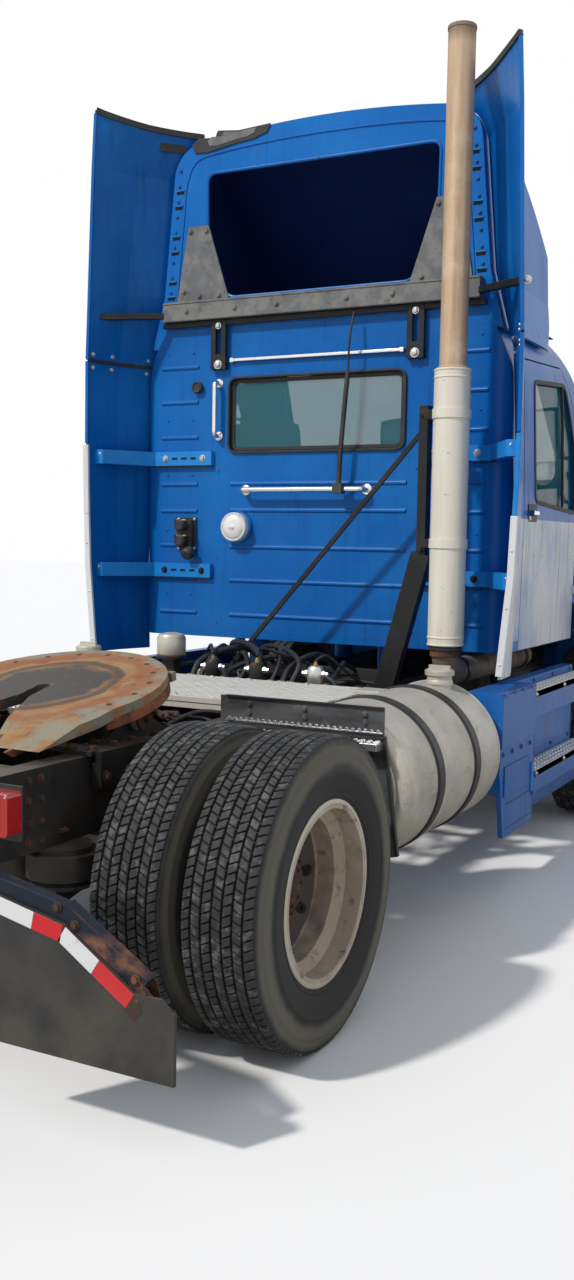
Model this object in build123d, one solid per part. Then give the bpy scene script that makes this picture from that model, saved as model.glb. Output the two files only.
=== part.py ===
"""Two-axle highway tractor unit with a day cab, roof fairing and fifth wheel.

Millimetres. +Z up, the ground is Z = 0. The front faces -Y, so the vehicle's left side is +X.
Y = 0 is the back face of the cab, which is also the middle of the overall length.
"""

from build123d import *
from math import cos, radians, sin
import os

os.makedirs("parts", exist_ok=True)

# Driving dimensions of the vehicle
bumper_to_cab_back = 3120.0
cab_back_to_tail = 3120.0
front_axle_setback = 1290.0
cab_back_to_rear_axle = 2210.0
tyre_radius = 515.0
tyre_width = 280.0
rim_radius = 286.0
rim_flange_radius = 302.0
dual_spacing = 335.0
hand_holes = 10
hand_hole_pitch = 208.0
hand_hole_radius = 21.0
front_wheel_centre_x = 1040.0
outer_dual_centre_x = 1075.0
kingpin_x = 875.0

y_bumper = -bumper_to_cab_back
y_tail = cab_back_to_tail
y_front_axle = y_bumper + front_axle_setback
y_rear_axle = cab_back_to_rear_axle
axle_z = tyre_radius

# Ladder frame
frame_half_width = 430.0
frame_top = 930.0
frame_depth = 265.0
frame_flange = 85.0
frame_plate = 9.0
frame_front_y = y_bumper + 230.0
frame_rear_y = y_tail - 30.0
frame_bottom = frame_top - frame_depth

# Cab shell
cab_bottom = 1120.0
cab_wall = 42.0
cab_half_width = 1065.0
cab_roof_edge = 2800.0
cab_waist_z = 1750.0
cab_roof_crown = 2850.0
cab_front_y = -1640.0
windscreen_foot = 1960.0
windscreen_head_y = -1080.0
windscreen_half_width = 890.0
cab_corner_radius = 95.0
cab_sill_tuck = 12.0
cab_shoulder_z = 2440.0
cab_shoulder_tuck = 22.0
cab_roof_tuck = 190.0
cab_front_half_width = 840.0
cab_front_corner_y = -1560.0
cab_front_taper_y = -1240.0
roof_split = 2690.0
floor_split = cab_bottom + 50.0
rear_wall_split = -110.0
front_split = -1330.0
glass_inset = 14.0
glass_thickness = 6.0

# Doors
door_rear_y = -240.0
door_front_y = -1285.0
door_bottom = cab_bottom
door_top_rear = 2570.0
door_top_front = 2620.0
door_corner_z = 2230.0
door_window_sill = 1872.0
door_handle_z = 1800.0
door_handle_proud = 23.0
door_gap = 7.5
door_sweep_clearance = 5.5
door_hinge_x = cab_half_width + 3
door_hinge_y = door_front_y
door_hinge_heights = (1400.0, 2050.0)
hinge_barrel_radius = 11.0
hinge_pin_radius = 4.0
hinge_pin_clearance = 0.05
hinge_knuckle_half = 22.0
hinge_leaf = 8.0

# Rear window
window_half_width = 510.0
window_bottom = 2118.0
window_top = 2515.0
window_corner = 45.0

# Door mirrors
mirror_head_out = 225.0
mirror_head_width = 185.0
mirror_head_depth = 82.0
mirror_bottom = 1985.0
mirror_top = 2440.0

# Roof fairing and side extenders
fairing_wall = 22.0
fairing_top = 3812.0
fairing_edge_drop = 45.0
fairing_foot_half_width = cab_half_width - 61
fairing_waist_z = 2970.0
fairing_waist_half_width = cab_half_width - 135
fairing_shoulder_z = 3600.0
fairing_shoulder_half_width = cab_half_width - 193
fairing_top_half_width = 700.0
fairing_front_y = -1330.0
fairing_opening_half_width = 665.0
fairing_opening_bottom = 2940.0
fairing_opening_top = 3600.0
extender_thickness = 14.0
extender_reach = 336.0
extender_bottom = 1030.0
extender_joint_z = 2600.0
extender_seam = 6.0
extender_top = 3910.0
extender_gap = 4.0
extender_root_y = -70.0

# Engine, as one mass under the hood
engine_rear_y = -1690.0
engine_front_y = -2630.0
engine_half_width = 330.0
engine_top = 1560.0

# Exhaust stack
stack_x = -860.0
stack_y = 287.0
muffler_radius = 85.0
muffler_bottom = 1168.0
muffler_top = 2458.0
pipe_radius = 63.5
pipe_wall = 3.0
stack_top = 3990.0

# Fifth wheel
fifth_wheel_y = cab_back_to_rear_axle - 50.0
fifth_wheel_pivot_z = 1020.0
plate_top_above_pivot = 85.0
plate_radius = 457.0
plate_thickness = 38.0
plate_rest_tilt = 12.0
rocker_pin_radius = 24.0
kingpin_radius = 25.4
kingpin_clearance = 0.1

# Fuel tanks, steps and the deck
tank_radius = 312.0
tank_x = 904.0
tank_z = 718.0
tank_front_y = 480.0
tank_rear_y = 1590.0
step_front_y = -1160.0
step_rear_y = 460.0
step_outer_x = 1200.0
step_bottom = 310.0
step_top = 980.0
upper_tread = 940.0
lower_tread = 550.0
tread_rear_y = -50.0
deck_front_y = 790.0
deck_rear_y = 1480.0
deck_half_width = 735.0
deck_top = 1004.0

# Hood
hood_wall = 16.0
hood_pivot_y = y_bumper + 110.0
hood_pivot_z = 700.0
hood_pin_radius = 14.0
hood_pin_clearance = 0.6
hood_horn_thickness = 30.0
hood_arm_thickness = 24.0
hood_bottom = 722.0
hood_nose_y = y_bumper + 65.0
hood_rear_y = door_front_y - 22.0
hood_clearance = 9.0
hood_half_width = 1215.0
hood_waist_half_width = 905.0
hood_waist_z = 1500.0
hood_shoulder_half_width = 600.0
hood_brow_z = 1405.0
hood_nose_half_width = 505.0
fender_top = 1325.0
fender_brow_y = y_bumper + 600.0
fender_brow_z = 1235.0
fender_corner_y = y_bumper + 770.0
fender_nose_half_width = 790.0
hood_cowl_y = cab_front_corner_y - 15
hood_cowl_z = windscreen_foot - 25
arch_radius = 632.0
bumper_bottom = 330.0
bumper_top = 655.0
bumper_half_width = 1210.0
bumper_wall = 14.0
bumper_end_y = y_bumper + 630.0
bumper_corner_y = y_bumper + 420.0
bumper_bow_half_width = 700.0
bumper_bow = 35.0


to_left, to_rear, to_front, upward = (1, 0, 0), (0, 1, 0), (0, -1, 0), (0, 0, 1)


def through_side(face):
    """Runs a (y, z) face right across the vehicle."""
    return extrude(Plane.YZ.offset(-2000) * face, 4000, dir=to_left)


def through_front(face):
    """Runs an (x, z) face along the front half of the vehicle."""
    return extrude(Plane.XZ.offset(-1000) * face, 4500, dir=to_front)


def through_plan(face):
    """Runs an (x, y) face from the ground up."""
    return extrude(Plane.XY * face, 5000, dir=upward)


def save(name, shape):
    """Writes one node as its solids."""
    solids = list(shape.solids())
    export_step(solids[0] if len(solids) == 1 else Compound(children=solids), f"parts/{name}.step")


def block(x0, x1, y0, y1, z0, z1):
    return Pos((x0 + x1) / 2, (y0 + y1) / 2, (z0 + z1) / 2) * Box(abs(x1 - x0), abs(y1 - y0), abs(z1 - z0))


def rod_x(x0, x1, y, z, r):
    return Pos((x0 + x1) / 2, y, z) * Rot(0, 90, 0) * Cylinder(r, abs(x1 - x0))


def rod_y(y0, y1, x, z, r):
    return Pos(x, (y0 + y1) / 2, z) * Rot(90, 0, 0) * Cylinder(r, abs(y1 - y0))


def rod_z(z0, z1, x, y, r):
    return Pos(x, y, (z0 + z1) / 2) * Cylinder(r, abs(z1 - z0))


def side_plate(points, x0, x1, radius=0.0):
    """A plate whose outline is (y, z) points, between two x values."""
    face = Polygon(*points, align=None)
    if radius:
        face = fillet(face.vertices(), radius)
    return extrude(Plane.YZ.offset(min(x0, x1)) * face, abs(x1 - x0), dir=to_left)


def front_plate(points, y0, y1, radius=0.0):
    """A plate whose outline is (x, z) points, between two y values."""
    face = Polygon(*points, align=None)
    if radius:
        face = fillet(face.vertices(), radius)
    return extrude(Plane.XZ.offset(-min(y0, y1)) * face, abs(y1 - y0), dir=to_rear)


def plan_plate(points, z0, z1, radius=0.0):
    """A plate whose outline is (x, y) points, between two heights."""
    face = Polygon(*points, align=None)
    if radius:
        face = fillet(face.vertices(), radius)
    return extrude(Plane.XY.offset(min(z0, z1)) * face, abs(z1 - z0), dir=upward)


def bar_between(a, b, width, depth):
    """A rectangular bar from point a to point b; depth lies as near to Y as it can."""
    direction = Vector(*b) - Vector(*a)
    across = direction.cross(Vector(0, 1, 0))
    plane = Plane(origin=a, x_dir=across, z_dir=direction)
    return extrude(plane * Rectangle(width, depth), direction.length)


def tube_along(points, radii, r):
    """A round bar along straight runs joined by arcs."""
    path = FilletPolyline(*points, radius=radii) if radii else Polyline(*points)
    start = path @ 0
    return sweep(Plane(origin=start, z_dir=path % 0) * Circle(r), path=path)


def other_side(shape):
    return mirror(shape, about=Plane.YZ)


def largest(shape):
    return max(shape.solids(), key=lambda s: s.volume)


def both_sides(shape):
    return Compound(children=[*shape.solids(), *other_side(shape).solids()])


def turned(profile, x_centre, y, z):
    """Revolves (radius, x) points about the line through (y, z) along X."""
    face = Polygon(*profile, align=None)
    body = revolve(Plane.XZ * face, Axis.Z, 360)
    return Pos(x_centre, y, z) * Rot(0, 90, 0) * body


# Cab


def cab_side_outline(inset):
    """The cab from the side: back, roof, raked windscreen and bulkhead."""
    outline = Polygon(
        (0, cab_bottom),
        (0, cab_roof_crown),
        (windscreen_head_y, cab_roof_crown),
        (cab_front_y, windscreen_foot),
        (cab_front_y, cab_bottom),
        align=None,
    )
    corners = outline.vertices().sort_by(Axis.Y)
    outline = fillet(corners[-2:], 60)
    return offset(outline, -inset, kind=Kind.INTERSECTION) if inset else outline


def cab_front_outline(inset):
    """The cab from the front: barrel sides and a crowned roof."""
    half = cab_half_width
    sill, waist = (half - cab_sill_tuck, cab_bottom), (half, cab_waist_z)
    shoulder = (half - cab_shoulder_tuck, cab_shoulder_z)
    edge, crown = (half - cab_roof_tuck, cab_roof_edge), (0, cab_roof_crown)
    lean = (-cab_shoulder_tuck, cab_shoulder_z - cab_waist_z)
    right = [Line(sill, waist), Line(waist, shoulder), TangentArc(shoulder, edge, tangent=lean)]
    top = ThreePointArc(edge, crown, (-edge[0], edge[1]))
    left = [mirror(e, about=Plane.YZ) for e in right]
    bottom = Line(sill, (-sill[0], sill[1]))
    outline = make_face([*right, top, *left, bottom])
    return offset(outline, -inset, kind=Kind.INTERSECTION) if inset else outline


def cab_plan_outline(inset):
    """The cab from above: rounded back corners and a bowed front."""
    half, taper_y = cab_half_width, cab_front_taper_y
    left, right = (cab_front_half_width, cab_front_corner_y), (-cab_front_half_width, cab_front_corner_y)
    outline = make_face(
        [
            Polyline(right, (-half, taper_y), (-half, 0), (half, 0), (half, taper_y), left),
            ThreePointArc(left, (0, cab_front_y), right),
        ]
    )
    back = outline.vertices().sort_by(Axis.Y)[-2:]
    outline = fillet(back, cab_corner_radius)
    return offset(outline, -inset, kind=Kind.INTERSECTION) if inset else outline


def cab_solid(inset):
    """The whole cab as one closed block, shrunk by inset on every side (grown if negative)."""
    from_side = through_side(cab_side_outline(inset))
    return from_side & through_front(cab_front_outline(inset)) & through_plan(cab_plan_outline(inset))


def door_outline(grow):
    outline = Polygon(
        (door_rear_y, door_bottom),
        (door_rear_y, door_top_rear),
        (door_front_y + 265, door_top_front),
        (door_front_y, door_corner_z),
        (door_front_y, door_bottom),
        align=None,
    )
    outline = fillet(outline.vertices(), 45)
    return offset(outline, grow) if grow else outline


door_window_points = [
    (door_rear_y - 195, door_window_sill),
    (door_rear_y - 172, door_top_rear - 92),
    (door_front_y + 280, door_top_front - 92),
    (door_front_y + 80, door_corner_z - 25),
    (door_front_y + 80, door_window_sill - 37),
]
windscreen_points = [
    (-windscreen_half_width, windscreen_foot + 70),
    (windscreen_half_width, windscreen_foot + 70),
    (windscreen_half_width - 90, roof_split + 50),
    (90 - windscreen_half_width, roof_split + 50),
]


def rear_window_hole():
    w = window_half_width
    corners = [(-w, window_bottom), (w, window_bottom), (w, window_top), (-w, window_top)]
    return front_plate(corners, -200, 100, window_corner)


def door_zone(grow):
    """The room that a left door takes in the side wall; it ends outside the edge of the floor."""
    above = extrude(Plane.YZ.offset(cab_half_width - 135 - grow) * door_outline(grow), 900, dir=to_left)
    floor_edge = cab_half_width - cab_sill_tuck - cab_wall + 1
    slab = block(0, floor_edge - grow, -2000, 0, 0, cab_bottom + cab_wall + 10 - grow)
    below = block(0, cab_half_width + 200, -2000, 0, 0, door_bottom + 60)
    return (above + (below & door_foot(grow))) - slab


def door_foot(grow):
    """The lowest strip of the door, which runs down past the sill."""
    y0, y1 = door_front_y - grow, door_rear_y + grow
    return block(0, cab_half_width + 200, y0, y1, door_bottom - 2 * grow, door_bottom + 60)


def hinge_knuckle(z0, z1):
    return rod_z(z0, z1, door_hinge_x, door_hinge_y, hinge_barrel_radius)


def door_hinges():
    """The doors' half and the cab's half of the left hinges: one barrel between two, on a pin."""
    x, y, half = door_hinge_x, door_hinge_y, hinge_knuckle_half
    on_door, on_cab = [], []
    for z in door_hinge_heights:
        leaf = block(x - 30, x + 6, y + 2, y + 74, z - half, z + half)
        barrel = hinge_knuckle(z - half, z + half)
        bore = rod_z(z - half - 1, z + half + 1, x, y, hinge_pin_radius + hinge_pin_clearance)
        on_door.append((leaf + barrel) - bore)
        on_cab.append(rod_z(z - 2 * half, z + 2 * half, x, y, hinge_pin_radius))
        for end in (-1, 1):
            z0, z1 = z + end * (half + 0.5), z + end * 2 * half
            leaf_y = y - door_gap - 1
            fixed_leaf = block(x - 60, x + 2, leaf_y - hinge_leaf, leaf_y, z0, z1)
            on_cab.append(hinge_knuckle(min(z0, z1), max(z0, z1)) + fixed_leaf)
    return on_door, on_cab


def door_handle(outer):
    """A pull handle that stands off the door on two feet."""
    proud, x = door_handle_proud, cab_half_width
    y0, y1, z0, z1 = door_rear_y - 180, door_rear_y - 90, door_handle_z, door_handle_z + 26
    handle = block(x - 3, x + proud, y0, y1, z0, z1)
    for foot_y in (y0, y1 - 15):
        handle = handle + block(x - 25, x + proud, foot_y, foot_y + 15, z0, z1)
    handle = handle - block(x - 3, x + proud - 9, y0 + 15, y1 - 15, z0 - 1, z1 + 1)
    return handle - outer


def build_cab():
    outer = cab_solid(0)
    shell = outer - cab_solid(cab_wall)
    glass = cab_solid(glass_inset) - cab_solid(glass_inset + glass_thickness)

    screen_hole = front_plate(windscreen_points, -2000, -900, 60)
    rear_hole = rear_window_hole()
    save("cab_glass", Compound(children=[*(glass & screen_hole).solids(), *(glass & rear_hole).solids()]))
    shell = shell - screen_hole - rear_hole

    door_window = side_plate(door_window_points, cab_half_width - 365, cab_half_width + 535, 50)
    sweep_radius = door_rear_y - door_hinge_y + door_gap - door_sweep_clearance
    sweep_limit = rod_z(0, 3000, door_hinge_x, door_hinge_y, sweep_radius)
    door_body = door_zone(0) & sweep_limit
    on_door, on_cab = door_hinges()
    room = hinge_barrel_radius + 1
    barrel_room = [rod_z(z - 60, z + 60, door_hinge_x, door_hinge_y, room) for z in door_hinge_heights]
    door = largest((shell & door_body) - door_window - barrel_room) + on_door + door_handle(outer)
    pane = largest(glass & door_body & door_window)
    save("door_left", door)
    save("door_right", other_side(door))
    save("door_glass_left", pane)
    save("door_glass_right", other_side(pane))
    build_mirror()

    door_hole = door_zone(door_gap)
    shell = shell - door_hole - other_side(door_hole)
    roof_zone = block(-1500, 1500, -3000, 500, roof_split, 3500)
    floor_zone = block(-1500, 1500, -3000, 500, 0, floor_split)
    back_zone = block(-1500, 1500, rear_wall_split, 500, floor_split, roof_split)
    front_zone = block(-1500, 1500, -3000, front_split, floor_split, roof_split)
    save("cab_roof", shell & roof_zone)
    save("cab_floor", (shell & floor_zone) + cab_mounts())
    save("cab_rear_wall", (shell & back_zone) + wall_beads())
    save("cab_front", shell & front_zone)
    sides = shell - roof_zone - floor_zone - back_zone - front_zone
    left = Compound(children=[s for s in sides.solids() if s.center().X > 0]) + on_cab
    save("cab_sides", both_sides(left))
    return outer


def cab_mounts():
    """Four rubber-bushed stands between the floor and the frame rails."""
    mounts = []
    for y in (-150.0, -1250.0):
        for side in (-1, 1):
            x = side * (frame_half_width - 45)
            mounts.append(rod_z(frame_top, cab_bottom + 5, x, y, 55))
    return Sketch() + mounts


# Horizontal stamped beads of the back wall: height, inner end and outer end of each, from the middle
centre_beads = [1952.0, 1811.0, 1614.0, 1432.0, 1245.0]
column_beads = [2583.0, 2395.0, 2205.0, 1950.0, 1805.0, 1617.0, 1435.0, 1249.0]
bead_radius = 13.0
bead_proud = 8.0


def wall_beads():
    """Raised swages that stiffen the back wall, and the gutter over the rear window."""
    y = bead_proud - bead_radius
    beads = [rod_x(-525, 495, y, z, bead_radius) for z in centre_beads]
    for z in column_beads:
        beads.append(rod_x(-940, -705, y, z, bead_radius))
        beads.append(rod_x(705, 940, y, z, bead_radius))
    beads.append(block(-500, 500, -5, 16, 2598, 2616))
    return Sketch() + beads


def build_mirror():
    """A door mirror: two arms and a tall head, in one piece."""
    outer_x = cab_half_width + mirror_head_out
    y0 = door_front_y + 23
    y_arm = y0 + 34
    inner_x = outer_x - mirror_head_width
    head = block(inner_x, outer_x, y0, y0 + mirror_head_depth, mirror_bottom, mirror_top)
    head = fillet(head.edges().filter_by(Axis.Z), 30)
    root_x, bend_x, head_x = cab_half_width - 35, cab_half_width + 25, outer_x - 140
    arms = []
    for low, high in ((mirror_bottom - 85, mirror_bottom + 65), (mirror_bottom + 165, mirror_top - 60)):
        points = [(root_x, y_arm, low), (bend_x, y_arm, low), (head_x, y_arm + 6, high)]
        arms.append(tube_along(points, [20], 11))
    unit = largest((head + arms) - cab_solid(0))
    save("mirror_left", unit)
    save("mirror_right", other_side(unit))


# Seats and dashboard
seat_x = 480.0
seat_half_width = 250.0
seat_front_y = -900.0
seat_rear_y = -420.0
cushion_bottom = 1560.0
cushion_top = 1690.0
backrest_top = 2300.0
dash_half_width = 790.0
dash_bottom = windscreen_foot - 310
dash_top = windscreen_foot + 25
dash_front_y = cab_front_y + 50
dash_shelf = dash_top - 135
steering_wheel_radius = 215.0
steering_rim_radius = 15.0
steering_centre = (seat_x, -1060.0, windscreen_foot + 10)


def build_interior():
    """Two seats, the dashboard and the steering wheel, as seen through the glass."""
    seats = []
    y0, y1 = seat_front_y, seat_rear_y
    for x in (-seat_x, seat_x):
        seat = block(x - seat_half_width, x + seat_half_width, y0, y1, cushion_bottom, cushion_top)
        base = block(x - 170, x + 170, y0 + 40, y1 - 40, floor_split, cushion_bottom)
        foot, top = cushion_top - 40, backrest_top
        lean = [(y1 - 50, foot), (y1 + 80, foot), (y1 + 190, top), (y1 + 90, top)]
        back = side_plate(lean, x - seat_half_width + 10, x + seat_half_width - 10, 40)
        seat = fillet(seat.edges().filter_by(Axis.Z), 60)
        seats.append(seat + base + back)
    save("seats", Compound(children=[s for one in seats for s in one.solids()]))
    foot, top = dash_bottom, dash_top
    y = dash_front_y
    outline = [(y, foot), (y + 300, foot), (y + 340, dash_shelf), (y + 260, top - 35), (y + 30, top)]
    dash = side_plate(outline, -dash_half_width, dash_half_width, 25)
    column_foot = (seat_x, y + 270, dash_shelf - 50)
    column = bar_between(column_foot, (seat_x, -1075, windscreen_foot), 70, 60)
    ring_plane = Plane(origin=steering_centre, z_dir=(0, 0.84, 0.54))
    across_ring = Plane(origin=steering_centre, x_dir=(1, 0, 0), z_dir=(0, 0.54, -0.84))
    rim_section = Pos(steering_wheel_radius, 0) * Circle(steering_rim_radius)
    rim = revolve(across_ring * rim_section, Axis(ring_plane.origin, ring_plane.z_dir), 360)
    hub = extrude(ring_plane * Circle(60), 35, both=True)
    spoke = Pos(steering_wheel_radius / 2 + 2.5, 0) * Rectangle(steering_wheel_radius, 32)
    spokes = [extrude(ring_plane * Rot(0, 0, a) * spoke, 8, both=True) for a in (0, 180, 270)]
    dash = dash & cab_solid(cab_wall + 1)
    save("dashboard", dash + column + rim + hub + spokes)


# Roof fairing, side extenders and their supports


def fairing_side_outline():
    """The swept-up top of the fairing, seen from the side."""
    foot = (fairing_front_y, roof_split + 120)
    brow = (0.62 * fairing_front_y, roof_split + 750)
    top = (0, fairing_top)
    rest = Polyline(top, (0, roof_split), (foot[0], roof_split), foot)
    return make_face([ThreePointArc(foot, brow, top), rest])


def fairing_front_outline():
    """Sides that lean in, tight shoulders and a slightly crowned top."""
    foot, waist = (fairing_foot_half_width, roof_split), (fairing_waist_half_width, fairing_waist_z)
    shoulder = (fairing_shoulder_half_width, fairing_shoulder_z)
    edge, crown = (fairing_top_half_width, fairing_top - fairing_edge_drop), (0, fairing_top)
    lean = (shoulder[0] - waist[0], shoulder[1] - waist[1])
    half = [Line(foot, waist), Line(waist, shoulder), TangentArc(shoulder, edge, tangent=lean)]
    top = ThreePointArc(edge, crown, (-edge[0], edge[1]))
    other_half = [mirror(e, about=Plane.YZ) for e in half]
    return make_face([*half, top, *other_half, Line(foot, (-foot[0], foot[1]))])


def fairing_plan_outline():
    """Straight towards the back and drawn in to a blunt nose over the windscreen."""
    half, nose = fairing_foot_half_width, 0.63 * fairing_foot_half_width
    taper_y = 0.5 * fairing_front_y
    left = TangentArc((half, taper_y), (nose, fairing_front_y), tangent=(0, -1))
    return make_face(
        [
            Line((half, 0), (half, taper_y)),
            left,
            Line((nose, fairing_front_y), (-nose, fairing_front_y)),
            mirror(left, about=Plane.YZ),
            Line((-half, taper_y), (-half, 0)),
            Line((-half, 0), (half, 0)),
        ]
    )


def fairing_solid(inset):
    """The fairing as a closed block, shrunk by inset on every side."""
    faces = [fairing_side_outline(), fairing_front_outline(), fairing_plan_outline()]
    if inset:
        faces = [offset(f, -inset, kind=Kind.INTERSECTION) for f in faces]
    side, front, plan = faces
    return through_side(side) & through_front(front) & through_plan(plan)


def build_fairing(cab_outer):
    """A thin hood over the cab roof with a rimmed opening at the back and nothing below."""
    wall, half = fairing_wall, fairing_foot_half_width
    below = block(-half + wall, half - wall, fairing_front_y + 30, -wall, roof_split - 10, roof_split + 60)
    w, lo, hi = fairing_opening_half_width, fairing_opening_bottom, fairing_opening_top
    right = [(w - 130, lo), (w - 5, lo + 330), (w, hi)]
    opening = front_plate([*right, *[(-x, z) for x, z in reversed(right)]], -60, 60, 55)
    fairing = fairing_solid(0) - fairing_solid(wall) - below - opening - cab_outer
    save("roof_fairing", largest(fairing))


# Each extender from below: height, half width at its root, half width at its trailing edge
lower_extender = [
    (extender_bottom, cab_half_width - 10, 1149.0),
    (1500.0, cab_half_width, 1191.0),
    (2050.0, cab_half_width - 6, 1209.0),
    (extender_joint_z - extender_seam / 2, cab_half_width - 36, 1208.0),
]
upper_extender = [
    (extender_joint_z + extender_seam / 2, cab_half_width - 36, 1208.0),
    (roof_split, fairing_foot_half_width, 1206.0),
    (fairing_waist_z, fairing_waist_half_width, 1195.0),
    (fairing_shoulder_z, fairing_shoulder_half_width, 1173.0),
    (3730.0, fairing_top_half_width + 85, 1167.0),
    (extender_top, fairing_top_half_width - 40, 1157.0),
]


def extender_section(z, root_x, tip_x):
    """A thin wing section seen from above, with a bowed outer face."""
    t, root_y, tip_y = extender_thickness, extender_root_y, extender_reach
    root_x = root_x + extender_gap
    mid_x, mid_y = (root_x + tip_x) / 2 + t, (root_y + tip_y) / 2
    return Plane.XY.offset(z) * Polygon(
        (root_x, root_y),
        (root_x + t, root_y),
        (mid_x + t, mid_y),
        (tip_x, tip_y),
        (tip_x - t, tip_y),
        (mid_x, mid_y + t / 2),
        align=None,
    )


def wing(rows):
    return loft([extender_section(*row) for row in rows], ruled=True)


def build_extenders():
    """The lower wing follows the cab's side, the upper one the fairing's, with a hollow top edge."""
    tip, dip, root = (1185.0, extender_top), (950.0, 3845.0), (600.0, 3826.0)
    sky = [ThreePointArc(tip, dip, root), Polyline(root, (root[0], 4000), (tip[0], 4000), tip)]
    above = extrude(Plane.XZ.offset(-500) * make_face(sky), 1500, dir=to_front)
    lower = wing(lower_extender) - cab_solid(-2)
    upper = wing(upper_extender) - cab_solid(-2) - fairing_solid(-2) - above
    lower, upper = largest(lower), largest(upper)
    save("side_extenders", Compound(children=[*both_sides(lower).solids(), *both_sides(upper).solids()]))
    arms = []
    for z in (2090.0, 1480.0):
        z0, z1 = z - 38, z + 38
        flat = block(605, cab_half_width - 55, 0, 26, z0, z1)
        outline = [(950, 0), (1010, 0), (1150, 246), (1200, 246), (1200, 292), (1130, 292)]
        arms.append(largest(flat + plan_plate(outline, z0, z1) - wall_beads() - lower))
    save("extender_brackets", both_sides(Compound(children=arms)))


cross_bar_half_width = 900.0
cross_bar_bottom = 2822.0
cross_bar_top = 2926.0
cross_bar_depth = 62.0
cross_strap_x = 565.0


def build_fairing_frame():
    """The cross tube and gussets that carry the fairing, with their straps and side struts."""
    half, z0, z1 = cross_bar_half_width, cross_bar_bottom, cross_bar_top
    x0, x1 = cross_strap_x - 45, cross_strap_x + 45
    bar = block(-half, half, 0, cross_bar_depth, z0, z1)
    tip_z = z1 + 404
    gusset = front_plate([(x0 - 5, z1), (half - 55, z1), (half - 125, tip_z), (half - 250, tip_z)], 0, 10)
    strap = block(x0, x1, 16, 34, window_top + 60, z0)
    strap = strap - block(x0 + 28, x1 - 28, 10, 40, window_top + 125, z0 - 32)
    foot = block(x0, x1, 0, 34, window_top + 45, window_top + 85)
    strut_ends = (half - 10, 40, z0 + 38), (1210, extender_reach - 34, z0 + 12)
    strut = largest(bar_between(*strut_ends, 30, 30) - wing(upper_extender))
    frame = bar + gusset + other_side(gusset) + strap + other_side(strap) + foot + other_side(foot)
    frame = frame + strut + other_side(strut)
    save("fairing_frame", frame - wall_beads())


# Exhaust


def build_exhaust():
    """Upright muffler with its pipe, and the elbow that runs forward under the floor to the engine."""
    muffler = rod_z(muffler_bottom, muffler_top, stack_x, stack_y, muffler_radius)
    muffler = chamfer(muffler.edges().filter_by(GeomType.CIRCLE), 8)
    pipe = rod_z(muffler_top - 10, stack_top, stack_x, stack_y, pipe_radius)
    bore = rod_z(stack_top - 420, stack_top + 10, stack_x, stack_y, pipe_radius - pipe_wall)
    run_z = 1038.0
    lower = tube_along(
        [
            (stack_x, stack_y, muffler_bottom + 20),
            (stack_x, stack_y, run_z),
            (stack_x, -960, run_z),
            (-500, -1380, run_z - 15),
            (-290, -1600, run_z - 15),
            (-290, engine_rear_y, run_z - 15),
        ],
        [108, 150, 120, 120],
        pipe_radius,
    )
    save("exhaust_stack", muffler + (pipe - bore) + lower)

    post_x = stack_x + 150
    post = block(post_x - 22, post_x + 22, 200, 260, 1560, 2300)
    leg = bar_between((post_x, 230, 1600), (-frame_half_width - 60, 230, frame_bottom + 120), 95, 60)
    brace = bar_between((post_x, 208, 2210), (frame_half_width - 40, 208, frame_top + 25), 22, 16)
    foot = block(-frame_half_width - 120, -frame_half_width, 180, 280, frame_bottom + 60, frame_bottom + 190)
    clamps = []
    for z in (1650.0, 2250.0):
        ring = rod_z(z - 22, z + 22, stack_x, stack_y, muffler_radius + 6)
        ring = ring - rod_z(z - 30, z + 30, stack_x, stack_y, muffler_radius)
        arm = block(stack_x + muffler_radius + 2, post_x, 215, 245, z - 22, z + 22)
        clamps.append(ring + arm)
    keep_clear = rod_z(1000, 2600, stack_x, stack_y, muffler_radius)
    rail_space = block(-frame_half_width, 0, 0, 600, 0, frame_top)
    support = (post + leg + foot + clamps[0] + clamps[1]) - keep_clear - rail_space
    brace_end = block(frame_half_width - 60, frame_half_width, 195, 221, frame_top, frame_top + 60)
    save("stack_support", Compound(children=[*(support + brace + brace_end).solids()]))


# Frame, axles and suspension


def rail(y0, y1):
    """One channel rail, open towards the middle."""
    w, t = frame_half_width, frame_plate
    web = block(w - t, w, y0, y1, frame_bottom, frame_top)
    top = block(w - frame_flange, w, y0, y1, frame_top - t, frame_top)
    bottom = block(w - frame_flange, w, y0, y1, frame_bottom, frame_bottom + t)
    return web + top + bottom


# Crossmembers: y, lowest z, highest z, thickness along y
crossmembers = [
    (-2700.0, frame_bottom + 9, frame_bottom + 120, 60.0),
    (-420.0, frame_top - 90, frame_top - 9, 60.0),
    (900.0, frame_top - 90, frame_top - 9, 60.0),
    (1750.0, frame_top - 90, frame_top - 9, 70.0),
    (2750.0, frame_bottom + 9, frame_top - 9, 70.0),
    (frame_rear_y - 30, frame_bottom + 9, frame_top - 9, 60.0),
]


def build_frame():
    one = rail(frame_front_y, frame_rear_y)
    frame = one + other_side(one)
    inner = frame_half_width - frame_plate
    for y, z0, z1, t in crossmembers:
        frame = frame + block(-inner, inner, y - t / 2, y + t / 2, z0, z1)
    y, z, r = hood_pivot_y, hood_pivot_z, hood_pin_radius
    for side in (-1, 1):
        x0, x1 = side * frame_half_width, side * (frame_half_width - hood_horn_thickness)
        horn = block(x0, x1, y, frame_front_y + 60, z - 30, z + r) + rod_x(x0, x1, y, z, r + 2)
        pin = rod_x(x0, x1 - side * 45, y, z, r)
        frame = frame + horn + pin
    save("frame_rails", frame)


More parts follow.
